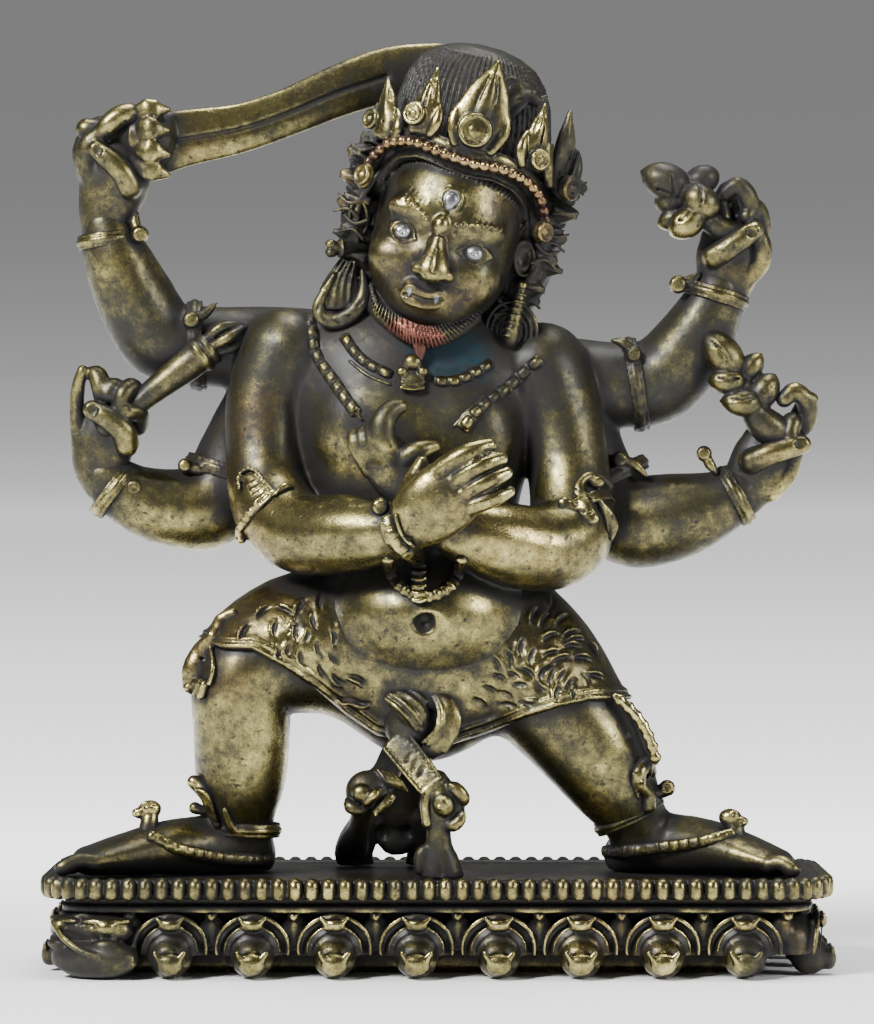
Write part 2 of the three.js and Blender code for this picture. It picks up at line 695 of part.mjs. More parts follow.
// The height of the crown's band round the head: degrees from the brow, and up.
const CROWN_LINE = [
  [-100, 6], [-82, 8.5], [-68, 12], [-54, 15.4], [-34, 16.8], [-13, 15.9], [5, 15.4], [23, 15.9],
  [42, 15], [60, 12.4], [72, 9], [90, 5], [110, 3],
];

function onCrown(degrees, out = 0, lift = 0) {
  const angle = THREE.MathUtils.degToRad(degrees);
  const next = Math.max(1, CROWN_LINE.findIndex(([end]) => end >= degrees));
  const [[from, low], [to, high]] = CROWN_LINE.slice(next - 1, next + 1);
  return [
    (CROWN_HALF_WIDTH + out) * Math.sin(angle),
    1 - (CROWN_HALF_DEPTH + out) * Math.cos(angle),
    THREE.MathUtils.mapLinear(degrees, from, to, low, high) + lift,
  ];
}

// The crown's leaves across and up the face of the crown, and the jewel at the foot of each.
const LEAVES = [
  { foot: [-16.4, 17], tip: [-19, 27.4], wide: 2.4, jewel: [-19.6, 18.9, 2] },
  { foot: [-9.8, 19.6], tip: [-10, 32], wide: 2.5, jewel: [-11.8, 22.2, 2.3] },
  { foot: [0.8, 19.4], tip: [1.4, 36.6], wide: 5.2, jewel: [0.4, 22, 3.5] },
  { foot: [12.8, 18.6], tip: [12.6, 30.6], wide: 2.5, jewel: [14, 19.8, 2.1] },
  { foot: [19.6, 16.2], tip: [17.8, 30.6], wide: 3.1, jewel: [21.2, 15.8, 2.6] },
];

const SIDE_JEWELS = [[-18.4, 7.6], [18.5, 6]];

// How far forward the crown's face stands at a place across it.
function crownDepth(across) {
  const share = Math.min(Math.abs(across), 19.4) / 20.4;
  return 1.6 - 17.2 * Math.sqrt(1 - share * share);
}

// A round jewel on a stalk that roots it in the hair.
function disc([across, depth, up], radius) {
  const stalk = headPart([[across, depth + 0.4, up, 1], [across * 0.75, depth + 5, up - 2.5, 1]]);
  return [headBall([across, depth, up], [radius, 1.6, radius]), stalk];
}

function leaf({ foot, tip, wide, jewel }) {
  const at = (share, out) => {
    const across = THREE.MathUtils.lerp(foot[0], tip[0], share);
    return [across, crownDepth(across) - out, THREE.MathUtils.lerp(foot[1], tip[1], share)];
  };
  const turn = foot[0] / 22;
  const blade = headPart(
    [[...at(0, -1), wide * 0.9, 1.6], [...at(0.3, -0.6), wide * 1.06, 1.6], [...at(0.62, -0.8), wide * 0.8, 1.4],
      [...at(0.86, -1.2), wide * 0.36, 0.8], [...at(1, -1.6), 0.4, 0.5]],
    { facing: [Math.sin(turn), -Math.cos(turn), 0.05], sides: 6 },
  );
  const root = headPart([[...at(0.1, -1), 1.2], [foot[0] * 0.75, crownDepth(foot[0]) + 9, foot[1] - 3, 1.2]]);
  const [across, up, radius] = jewel;
  return [blade, root, disc([across, crownDepth(across) - 0.2, up], radius)];
}

function crown() {
  const round = Array.from({ length: 15 }, (_, i) => -98 + 14 * i);
  const beads = headPart(round.map((degrees) => [...onCrown(degrees), 1.1]));
  const rim = headPart(round.map((degrees) => [...onCrown(degrees, -1.3, 1.7), 1, 1.4]), { facing: [0, 0, 1] });
  const lining = headPart(round.map((degrees) => [...onCrown(degrees, -2.9, -1.6), 1.3, 1.3]), {
    facing: [0, 0, 1],
  });
  const discs = SIDE_JEWELS.map(([across, up]) => disc([across, -7.4, up], 1.9));
  return [beads, rim, lining, LEAVES.map(leaf), discs];
}

function hair() {
  const fan = headPart(
    [[0, 5.4, 12, 16.2, 12.8], [-0.4, 5.4, 24, 15.8, 11.6], [-0.9, 5.4, 30, 14.6, 10.4], [-1.2, 5.4, 34, 12.6, 9],
      [-1.2, 5.4, 36.6, 10, 7.2], [-1, 5.4, 38.2, 6.2, 4.8]],
    { sides: 16, point: 0.3 },
  );
  const strands = Array.from({ length: 7 }, (_, k) => {
    const turn = ((k - 3) / 3) * 1.15;
    return [-1, 1].map((side) =>
      headPart(
        [[16, 12.4, 14], [15.4, 11.6, 22], [14.2, 9.8, 30], [9.6, 6.8, 36]].map(([wide, deep, up]) => [
          wide * Math.sin(turn) - 0.6,
          5 + side * deep * Math.cos(turn),
          up,
          1.3,
        ]),
        { sides: 4 },
      ),
    );
  });
  const locks = Array.from({ length: 7 }, (_, k) => {
    const turn = ((k - 3) / 3) * 1.1;
    return headPart(
      [[12, 14, 1], [2, 18.4, 1], [-8, 18, 1], [-17, 12, 0.8]].map(([up, out, scale]) => [
        1.6 + out * 1.06 * Math.sin(turn),
        6 + (out - 5.6) * Math.cos(turn),
        up,
        1.5 * scale,
      ]),
      { sides: 4 },
    );
  });
  const nape = headBall([1.6, 6.5, -3], [18.6, 12.5, 18], { across: 14, up: 8 });
  const curls = [-1, 1].flatMap((side) =>
    [0, 1, 2, 3].map((k) =>
      headBall([side * (19.4 - k * 0.5) + 1, 3 + k * 1.4, 10 - k * 6.6], [3.4, 4.4, 3.8], { across: 6, up: 5 }),
    ),
  );
  return [fan, strands, locks, nape, curls];
}

// Snakes coiled through the ears, each hanging in a loop beside the neck
function ears() {
  const right = [
    thin([[-16, -3, 153, 1.4, 2.4], [-17.4, -3, 148, 1.6, 2.6], [-17, -3, 142, 1.2, 2]]),
    thin([[-16, -4, 143.6, 1.7], [-22.4, -6, 143.4, 1.8]], { sides: 6 }),
    thin([[-17.6, -4, 141, 1.6, 2.6], [-20, -4, 134.8, 2.4, 3], [-21, -5, 129.6, 2.6, 3],
      [-16, -6, 129.8, 2, 2.4], [-14.6, -6, 135, 1.4, 2]]),
  ];
  const left = [
    thin([[16.6, -3, 147, 1.4, 2.4], [18.6, -3, 143, 1.6, 2.6], [17, -3, 138, 1.2, 2]]),
    thin([[17, -6, 136, 1.2], [15.6, -7, 131, 2], [15.2, -7, 125.6, 2.8]], { sides: 6 }),
    band(seen(15, -5, 127.4), [0.15, -1, 0], 5.2, 1.7),
  ];
  return [right, left];
}

// Clothes

const HEM = [
  [-48, 65.5], [-43, 63.6], [-37, 63.4], [-30, 59.4], [-24, 55.2], [-18, 50.2], [-12, 46.2], [-4, 44.6],
  [3, 44.4], [10, 46.6], [18, 49.8], [25, 52], [31, 53.2], [40, 53.4],
];

function fattened(stations, extra) {
  return stations.map(([x, y, z, r]) => [x, y, z, r + extra]);
}

function hemBand(above, below) {
  const upper = HEM.map(([x, z]) => [x, z + above]);
  const lower = HEM.map(([x, z]) => [x, z + below]).reverse();
  return slab([...upper, ...lower], -40, 40);
}

function skirt() {
  const hips = (extra) =>
    joined([
      body(fattened(LEGS.right, extra).slice(0, 4)),
      body(fattened(LEGS.left, extra).slice(0, 4)),
      ball(seen(-2.5, 0, 59), [19 + extra, 14.5 + extra, 16 + extra], { across: 14, up: 8 }),
    ]);
  const cloth = hips(1).intersect(hemBand(60, 0));
  const border = hips(1.9).intersect(hemBand(1.5, 0));
  return [cloth, border];
}

function sash(lay) {
  const loops = [
    ball(seen(-3.4, -12, 49), [6.4, 6.4, 5.6]),
    lay([[-9.6, 54, 1], [-6.6, 53.2, 2.2, 1.5], [-4.2, 51.4, 2.4, 1.6], [-3, 48.6, 1.6, 1.2]], { lift: 0.6 }),
    lay([[0, 54.6, 1.2], [2.2, 51.6, 2.1, 1.3], [1.8, 47, 2.3, 1.3], [-0.6, 43.6, 2.2, 1.2]], { lift: 0.6 }),
  ];
  const end = thin(
    [[-8.4, -15, 46, 2.2, 1], [-6.6, -16.4, 43.4, 2.7, 1], [-4.2, -18.2, 40, 2.9, 1], [-1.9, -19.6, 37, 2.8, 1]],
    { point: 0.1 },
  );
  const casing = [
    thin([[-0.6, -17.6, 37.4, 2.6, 2.4], [1.2, -18.2, 33, 3.4, 2.8], [0.6, -17.6, 28.4, 2.2, 2.2]], { sides: 6 }),
    ball(seen(1.4, -20.6, 32.4), [3.2, 1.8, 3.4]),
    thin([[0.4, -17.4, 28, 2, 2], [0.6, -17, 22, 3, 2.4], [0.9, -16.8, 18.2, 4.4, 3]], { sides: 6 }),
  ];
  const farCasing = [
    thin([[-6, 6, 47, 2.4], [-8.4, 3, 42.6, 2.8, 2.4], [-10.4, -1, 38.6, 2.6, 2.2], [-13, -4, 36, 2.2]], {
      sides: 6,
    }),
    ball(seen(-14, -5.6, 35), [3.8, 3.4, 3.8]),
    thin([[-14.6, -3, 31.6, 1.6], [-15.4, 2, 28.6, 1.7], [-16.4, 9, 25.4, 2.6, 1.8], [-17, 14, 21, 3.2, 2]], {
      sides: 6,
    }),
  ];
  const tails = [
    thin([[-5, 4, 47, 4.6, 3.4], [-5.4, 8, 40, 3.4, 2.6], [-5.8, 12, 33, 3, 2.4], [-7.4, 15, 28, 4.6, 2]], {
      sides: 6,
    }),
    [-11.2, -5.8].map((x) => ball(seen(x, 14, 26.6), [3.6, 1.5, 3.6])),
    thin([[-4, 12, 30, 2], [-2.4, 15.6, 25, 2.2], [-1.8, 18, 18.6, 3, 2.4]], { sides: 6 }),
    thin([[-9, 12, 34, 1.6], [-13.2, 14.4, 27, 1.8], [-13.6, 17, 18.6, 2.4, 2]], { sides: 6 }),
  ];
  return [loops, end, casing, farCasing, tails];
}

function pawAndTail(lay) {
  const paw = [
    lay([[-41, 69, 1.4], [-43.6, 66, 1.8], [-46.6, 61.4, 3, 2.6], [-48.6, 56.4, 2.4, 2]]),
    [-1, 0, 1].map((k) => lay([[-48.2 + k, 56.2 + k * 0.6, 1.3, 1.4, 1.8]], { depth: -9, across: 5, up: 4 })),
  ];
  const tail = lay([[36.6, 53.4, 1.3], [40, 50, 1.7], [42.4, 46, 1.8], [43.4, 42, 1.6]], { sides: 6 });
  return [paw, tail];
}

// Snakes and ornaments: a band round each limb, with a snake's head curling up from it

function armlets(lay) {
  return [
    band(seen(-34.4, -6, 93.4), [0.5, 0.35, 1], 8.7, 1.1),
    lay([[-39.6, 97.4, 1.4], [-36.6, 99.4, 2.6, 1.6], [-33, 94.6, 2.6, 1.6]]),
    band(seen(27.2, -7, 90.6), [-0.6, 0.3, 1], 8.9, 1.1),
    lay([[34.4, 96.6, 1.5], [30.4, 97, 2.2, 1.6], [32, 91, 2.4, 1.6], [34.6, 87, 1.4]]),
    band(seen(-48, 9.5, 124.2), [1, 0, 0.05], 8.9, 1.1),
    lay([[-49.4, 130.6, 1.4], [-48, 128.4, 1.9], [-45.6, 132, 1.7], [-44.6, 133.6, 1.4]]),
    band(seen(38.6, 9.5, 116.4), [1, 0, 0.1], 9.3, 1.1),
    lay([[32.6, 123.2, 1.6], [35.4, 121.6, 1.8], [38.4, 124, 1.9], [39.6, 117.6, 1.5]]),
    band(seen(-41.6, 10, 99), [-0.3, 0, -1], 8.9, 1.1),
    lay([[-46, 95.6, 1.6], [-47.6, 99, 1.9], [-50, 101.4, 1.8]]),
    band(seen(33.4, 10, 97.4), [0.45, 0, -1], 9.3, 1.1),
    lay([[35.4, 101.4, 1.6], [38, 98, 2], [40.8, 99, 1.9]]),
  ];
}

function bracelets(lay) {
  return [
    band(seen(-66, 5.3, 145.6), [-0.2, 0, 1], 5.7, 1.2),
    lay([[-62, 145.4, 1.3], [-60, 147.6, 1.6], [-58.8, 146.6, 1.4]]),
    band(seen(-64.6, 5.3, 95.6), [-0.9, 0, 0.7], 6, 1.2),
    lay([[-63, 93, 1.3], [-61.4, 94.6, 1.6], [-61, 96.8, 1.6]]),
    band(seen(55.8, 5.3, 134.4), [0.35, 0, 1], 6.3, 1.2),
    lay([[51.4, 136, 1.6], [49.4, 138, 1.7], [47.6, 136.8, 1.6]]),
    band(seen(59.2, 5.3, 94.4), [1, 0, 0.55], 6.2, 1.2),
    lay([[56.8, 99, 1.4], [55, 100.4, 1.7], [53, 102.8, 1.7]]),
    band(seen(-7, -28, 87.4), [1, -0.4, 0.5], 5.9, 1.2),
    lay([[-8.6, 90.6, 1.4], [-10.4, 92.4, 1.7], [-12, 91, 1.6]]),
  ];
}

function anklets(lay) {
  return [
    band(seen(-38.8, -2.4, 28.6), [0, 0, 1], 7, 1.2),
    lay([[-41.6, 28.6, 1.2], [-44.4, 30.2, 1.3], [-45.2, 34.4, 1.3], [-48, 36.8, 1.3], [-48.8, 35, 1.4]]),
    band(seen(38.6, -2.8, 31), [0.45, 0, -1], 7.2, 1.2),
    lay([[40.4, 32.4, 1.3], [43.6, 34, 1.3], [42, 37.6, 1.3], [42.8, 40.2, 1.5]]),
    lay([[44, 33.6, 1.4], [46.6, 36, 1.6]]),
    lay([[-35.4, 21.6, 1.1], [-40, 21.6, 1.1], [-46, 22.4, 1.2], [-52, 24, 1.2], [-57.4, 26.4, 1.3]]),
    lay([[-57.4, 26, 1.4], [-56.6, 30.6, 1.6], [-59, 31.4, 1.5]], { depth: -8 }),
    lay([[35, 23.4, 1.1], [45, 24, 1.2], [53, 25.6, 1.2], [60, 27.8, 1.3]]),
    lay([[60.4, 26, 1.4], [61, 29.6, 1.6], [57.8, 30.2, 1.5]], { depth: -10 }),
  ];
}

function necklaces(lay) {
  return [
    lay([[-18.4, 126.4, 1.3], [-14.6, 121.4, 1.4], [-9, 118.4, 1.4], [-1, 116.8, 1.4], [6, 118, 1.4], [12, 121, 1.3]]),
    lay([[-5.4, 122.6, 2.2, 1.8], [-5.4, 119.6, 2.6, 1.8], [-5.4, 116.4, 3, 1.5]]),
    lay([[-25.5, 130, 1.2], [-25, 125, 1.3], [-22, 119.5, 1.3], [-19, 114.5, 1.3], [-15.6, 110, 1.3]]),
    lay([[20.4, 121.4, 1.2], [15, 117, 1.3], [10, 113.5, 1.3], [5, 107.4, 1.3]]),
    lay([[-11.6, 79.6, 1.4], [-9, 76, 1.6], [-2.8, 74.2, 1.9], [3.4, 75.8, 1.6], [5.8, 79.4, 1.4]]),
    lay([[-3.6, 80, 1.5], [-3.4, 75.6, 2.2, 1.8]]),
  ];
}

function figure() {
  const hands = [
    Object.values(HANDS).map(hand),
    openHand(),
    hookedHand(),
  ];
  const limbs = [
    Object.values(ARMS).map((stations) => body(stations)),
    Object.values(LEGS).map((stations) => body(stations)),
    body(FEET.right, { sides: 10, facing: [0, 1, 0] }),
    body(FEET.left, { sides: 10, facing: [0, 1, 0] }),
    toes(FEET.right, -1, 3.6),
    toes(FEET.left, 1, 6.2),
  ];
  const bare = joined([trunk(), limbs, skirt(), hands]);
  const lay = layerOn(bare);
  const all = joined([
    bare, sword(), thunderbolt(), upperSpray(), lowerSpray(), face(), crown(), hair(), ears(),
    sash(lay), pawAndTail(lay), armlets(lay), bracelets(lay), anklets(lay), necklaces(lay),
  ]);
  return lightened(all.subtract(standing()), FIGURE_FACES).subtract(standing());
}

// Plinth

// A point and outward direction on the plinth's plan, at a distance round it from the front's middle.
function onPlan(distance, inset) {
  const corner = CORNER - inset;
  const [halfX, halfY] = [PLINTH_LENGTH / 2 - CORNER, PLINTH_DEPTH / 2 - CORNER];
  const arc = (corner * Math.PI) / 2;
  const runs = [halfX, arc, 2 * halfY, arc, 2 * halfX, arc, 2 * halfY, arc, halfX];
  const perimeter = runs.reduce((a, b) => a + b, 0);
  let left = ((distance % perimeter) + perimeter) % perimeter;
  let run = 0;
  while (left > runs[run]) left -= runs[run++];
  const quarter = Math.floor(run / 2) * (Math.PI / 2) - Math.PI / 2;
  const corners = [[halfX, -halfY], [halfX, halfY], [-halfX, halfY], [-halfX, -halfY]];
  const facing = run % 2 ? quarter + left / corner : quarter;
  const out = new THREE.Vector2(Math.cos(facing), Math.sin(facing));
  const along = new THREE.Vector2(-out.y, out.x);
  if (run % 2) {
    const [x, y] = corners[(run - 1) / 2];
    return { at: new THREE.Vector2(x, y).addScaledVector(out, corner), out, perimeter };
  }
  const starts = [[0, -halfY], [halfX, -halfY], [halfX, halfY], [-halfX, halfY], [-halfX, -halfY]];
  const [x, y] = starts[run / 2];
  const at = new THREE.Vector2(x, y).addScaledVector(out, corner).addScaledVector(along, left);
  return { at, out, perimeter };
}

const perimeterAt = (inset) => onPlan(0, inset).perimeter;

function planSlab(inset, low, high, samples = 40) {
  const outline = Array.from({ length: samples }, (_, i) => onPlan((i / samples) * perimeterAt(inset), inset).at);
  const geometry = new THREE.ExtrudeGeometry(new THREE.Shape(outline), { depth: high - low, bevelEnabled: false });
  geometry.translate(0, 0, low);
  return solid(geometry);
}

// The rim: a course of upright beads, with two faces and a groove to each.
function beadedRim() {
  const count = Math.round(perimeterAt(0) / BEAD_PITCH);
  const base = PLINTH_TOP + 1 - BEAD_HEIGHT;
  const rings = [base, base + BEAD_HEIGHT].map((z) =>
    Array.from({ length: count * 3 }, (_, i) => {
      const along = i / (count * 3);
      const outer = onPlan(along * perimeterAt(0), 0).at;
      const inner = onPlan(along * perimeterAt(RIM_WIDTH), RIM_WIDTH).at;
      const point = outer.lerp(inner, i % 3 ? 0 : BEAD_DEPTH / RIM_WIDTH);
      return new THREE.Vector3(point.x, point.y, z);
    }),
  );
  return skin(rings).subtract(planSlab(RIM_WIDTH, PLINTH_TOP, PLINTH_TOP + 10));
}

function petal(distance) {
  const { at, out } = onPlan(distance, 6);
  const lean = Math.atan2(out.y, out.x) + Math.PI / 2;
  const round = (centre, radii, across, up) => {
    const geometry = new THREE.SphereGeometry(1, across, up);
    geometry.rotateX(Math.PI / 2);
    geometry.scale(...radii);
    geometry.translate(...centre);
    geometry.rotateZ(lean);
    geometry.translate(at.x, at.y, 0);
    return solid(geometry);
  };
  return {
    lobe: round([0, 1.4, 6], [PETAL_HALF_WIDTH, 5.4, 6.8], 10, 6),
    tip: round([0, -3, 11], [2.6, 1.5, 1.9], 6, 4),
    knob: round([0, -3.4, 4.2], [4.3, KNOB, KNOB], 8, 6),
  };
}

function plinth() {
  const count = Math.round(perimeterAt(6) / PETAL_PITCH);
  const pitch = perimeterAt(6) / count;
  const petals = Array.from({ length: count }, (_, i) => petal(PETAL_OFFSET + (i + 0.5) * pitch));
  const raised = joined([
    planSlab(CORE_INSET, 0, 14),
    planSlab(5.4, 10, 13),
    petals.map(({ lobe, tip }) => [lobe, tip]),
  ]).subtract(slab([[-90, LOBE_FOOT], [90, LOBE_FOOT], [90, -20], [-90, -20]], -60, 60));
  const ground = slab([[-90, 0], [90, 0], [90, -20], [-90, -20]], -60, 60);
  const foot = planSlab(FOOT_INSET, 0, LOBE_FOOT + 1);
  const lower = joined([raised, foot, petals.map(({ knob }) => knob)]).subtract(ground);
  const light = lightened(lower, PETAL_FACES).subtract(ground);
  return joined([light, planSlab(3.4, 12.6, 15), beadedRim()]);
}

// What the figure's underside is cut to: the plinth's top and its raised rim, a small gap clear.
function standing() {
  const floor = PLINTH_TOP + FOOT_GAP;
  const rim = planSlab(-4, -10, floor + 1).subtract(planSlab(RIM_WIDTH + FOOT_GAP, -20, floor + 10));
  return joined([slab([[-90, floor], [90, floor], [90, -30], [-90, -30]], -60, 60), rim]);
}

const statue = new THREE.Group();
statue.add(mesh("lotus_plinth", plinth(), DARK_BRONZE));
statue.add(mesh("figure", figure(), BRONZE));

export default statue;
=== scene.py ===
"""A cast brass protector deity with six arms, striding on a long lotus plinth.

Every piece is modelled as clay: distances in millimetres on a regular grid, raised and carved by
round forms, then cast as a mesh. Places are those of the frame: +Z up, the front towards -Y, the
origin at the middle of the plinth's underside. Most forms are runs of stations, each a place and
its half sizes. Their places are measured on the front view: as (x, y, z) with a depth of their own,
or as (x, z) where they are laid on the clay behind them. Left and right are the figure's own.
"""

import math

import bpy
import numpy as np
import openvdb
from mathutils import Matrix, Vector


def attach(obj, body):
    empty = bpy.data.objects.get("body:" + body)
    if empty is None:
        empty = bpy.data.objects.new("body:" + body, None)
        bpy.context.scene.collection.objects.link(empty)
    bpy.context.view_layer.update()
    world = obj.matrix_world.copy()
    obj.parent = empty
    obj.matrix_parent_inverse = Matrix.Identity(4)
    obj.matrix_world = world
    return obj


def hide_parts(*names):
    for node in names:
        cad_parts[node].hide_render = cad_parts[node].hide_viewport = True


# Where the photograph was taken from, in millimetres, and how its frame was filled
VIEW_DISTANCE = 900.0
VIEW_HEIGHT = 90.9
LENS_MM = 158.2
SENSOR_MM = 36.0

# The distance written where no form is near
FAR = 6.0
# The plinth's top, and the fine gap between it and the soles
PLINTH_TOP = 18.8
FLOOR_GAP = 0.3
# Steps of the clay's grids
STEPS = {"whole": 0.8, "body": 0.5, "hands": 0.32, "face": 0.22, "ears": 0.28, "crown": 0.3, "hair": 0.3,
         "sword": 0.34, "thunderbolt": 0.3, "sprays": 0.32, "skirt": 0.36, "pelt": 0.32, "sash": 0.34,
         "armlets": 0.4, "near bands": 0.28, "bracelets": 0.34, "anklets": 0.32, "necklaces": 0.32,
         "plinth": 0.4}
# How far a mark's colour fades out at its edge
MARK_EDGE = 0.3
MM = 1000

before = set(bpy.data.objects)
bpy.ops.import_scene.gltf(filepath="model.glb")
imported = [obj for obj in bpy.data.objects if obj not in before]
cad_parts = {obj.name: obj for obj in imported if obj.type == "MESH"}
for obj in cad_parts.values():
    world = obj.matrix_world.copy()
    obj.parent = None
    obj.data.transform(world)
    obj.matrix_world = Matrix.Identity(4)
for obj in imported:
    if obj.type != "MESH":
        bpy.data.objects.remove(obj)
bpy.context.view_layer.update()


# Geometry

def unit(vector):
    vector = np.asarray(vector, float)
    return vector / (np.linalg.norm(vector) + 1e-12)


def seen(x, y, z):
    """The true place of a point measured on the front view as if at y = 0."""
    near = 1 + y / VIEW_DISTANCE
    return np.array([x * near, y, VIEW_HEIGHT + (z - VIEW_HEIGHT) * near])


def placed(stations):
    """Stations (x, y, z, sizes...) with their measured places taken to the true ones."""
    return [[*seen(*s[:3]), *s[3:]] for s in stations]


def spline(stations, fine):
    """Stations along a smooth curve through the given ones, `fine` to a span."""
    given = np.array(stations, float)
    ends = np.vstack([2 * given[0] - given[1], given, 2 * given[-1] - given[-2]])
    made = []
    for a, b, c, d in zip(ends, ends[1:], ends[2:], ends[3:]):
        for t in np.arange(fine) / fine:
            made.append(0.5 * (2 * b + (c - a) * t + (2 * a - 5 * b + 4 * c - d) * t**2
                               + (3 * b - a - 3 * c + d) * t**3))
    return np.array(made + [given[-1]])


def along(line, count):
    """`count` points spaced evenly by station along a smooth line."""
    fine = spline(line, 12)
    picked = np.linspace(0, len(fine) - 1, count)
    return [[np.interp(t, range(len(fine)), fine[:, i]) for i in range(fine.shape[1])] for t in picked]


def turned_about_y(degrees):
    return np.array(Matrix.Rotation(math.radians(degrees), 3, "Y"))


# Forms: lists of (low corner, high corner, distance function)

def oval(s2, f2, r2, wide2, thick2, cap2):
    """How far a point is outside an ellipsoid, from the squares of its offsets and radii."""
    near = np.sqrt(s2 / wide2 + f2 / thick2 + r2 / cap2)
    slope = np.sqrt(s2 / wide2**2 + f2 / thick2**2 + r2 / cap2**2)
    return near * (near - 1) / (slope + 1e-6)


def span(ends, sizes, facings):
    """A straight round or oval stretch between two stations."""
    (a, b), ((w0, t0), (w1, t1)) = ends, sizes
    along = b - a
    length2 = float(along @ along) + 1e-9
    way = unit(along)
    sides = [unit(np.cross(way, f)) for f in facings]
    fronts = [unit(np.cross(s, way)) for s in sides]
    reach = max(w0, t0, w1, t1)
    low, high = np.minimum(a, b) - reach, np.maximum(a, b) + reach
    is_round = abs(w0 - t0) + abs(w1 - t1) < 1e-6
    side_turn, front_turn = sides[1] - sides[0], fronts[1] - fronts[0]

    def distance(x, y, z):
        px, py, pz = x - a[0], y - a[1], z - a[2]
        t = np.clip((px * along[0] + py * along[1] + pz * along[2]) / length2, 0, 1)
        px, py, pz = px - t * along[0], py - t * along[1], pz - t * along[2]
        if is_round:
            return np.sqrt(px * px + py * py + pz * pz) - (w0 + (w1 - w0) * t)
        s = px * sides[0][0] + py * sides[0][1] + pz * sides[0][2]
        s = s + t * (px * side_turn[0] + py * side_turn[1] + pz * side_turn[2])
        f = px * fronts[0][0] + py * fronts[0][1] + pz * fronts[0][2]
        f = f + t * (px * front_turn[0] + py * front_turn[1] + pz * front_turn[2])
        rest2 = np.maximum(px * px + py * py + pz * pz - s * s - f * f, 0)
        wide, thick = w0 + (w1 - w0) * t, t0 + (t1 - t0) * t
        cap = np.minimum(wide, thick)
        return oval(s * s, f * f, rest2, wide * wide, thick * thick, cap * cap)

    return low, high, distance


def tube(stations, facing=(0, 1, 0), fine=3):
    """A limb, cord or ribbon through stations (x, y, z, width[, thickness]), as half sizes."""
    full = [[*s[:4], s[4] if len(s) > 4 else s[3]] for s in stations]
    run = spline(full, fine)
    facings = spline([*facing], fine) if np.ndim(facing) == 2 else [facing] * len(run)
    return [span((a[:3], b[:3]), (a[3:5], b[3:5]), (f, g))
            for a, b, f, g in zip(run, run[1:], facings, facings[1:])]


def rod(stations, facing=(0, 1, 0), fine=3):
    """A tube through stations as the front view measures them."""
    return tube(placed(stations), facing, fine)


def rods(runs, radius):
    """Thin cords of one radius through bare places (x, y, z)."""
    return (rod([(*s, radius) for s in run]) for run in runs)


def ball(centre, radii, turn=None):
    """An ellipsoid. The columns of `turn` are its axes."""
    radii = np.asarray(radii, float) * np.ones(3)
    axes = np.eye(3) if turn is None else np.asarray(turn)
    reach = np.sqrt(((axes * radii) ** 2).sum(1))
    centre = np.asarray(centre, float)

    def distance(x, y, z):
        px, py, pz = x - centre[0], y - centre[1], z - centre[2]
        a, b, c = (px * axes[0, k] + py * axes[1, k] + pz * axes[2, k] for k in range(3))
        return oval(a * a, b * b, c * c, *(radii**2))

    return [(centre - reach, centre + reach, distance)]


def ring(centre, axis, radius, thick, tall=None):
    """A band round an axis: its radius to the middle of the band, half its thickness and height."""
    centre, axis = np.asarray(centre, float), unit(axis)
    tall = tall or thick
    reach = radius + max(thick, tall)

    def distance(x, y, z):
        px, py, pz = x - centre[0], y - centre[1], z - centre[2]
        h = px * axis[0] + py * axis[1] + pz * axis[2]
        out = np.sqrt(np.maximum(px * px + py * py + pz * pz - h * h, 0)) - radius
        return oval(out * out, h * h, 0.0, thick**2, tall**2, 1.0)

    return [(centre - reach, centre + reach, distance)]


def upright(centre, half, corner):
    """A box with rounded upright edges."""
    centre, half = np.asarray(centre, float), np.asarray(half, float)

    def distance(x, y, z):
        qx = np.abs(x - centre[0]) - (half[0] - corner)
        qy = np.abs(y - centre[1]) - (half[1] - corner)
        qz = np.abs(z - centre[2]) - half[2]
        plan = np.sqrt(np.maximum(qx, 0) ** 2 + np.maximum(qy, 0) ** 2)
        plan = plan + np.minimum(np.maximum(qx, qy), 0) - corner
        outside = np.sqrt(np.maximum(plan, 0) ** 2 + np.maximum(qz, 0) ** 2)
        return outside + np.minimum(np.maximum(plan, qz), 0)

    return [(centre - half, centre + half, distance)]


# Clay

def soft_min(a, b, blend):
    if blend <= 0:
        return np.minimum(a, b)
    near = np.maximum(blend - np.abs(a - b), 0) / blend
    return np.minimum(a, b) - near * near * (blend / 4)


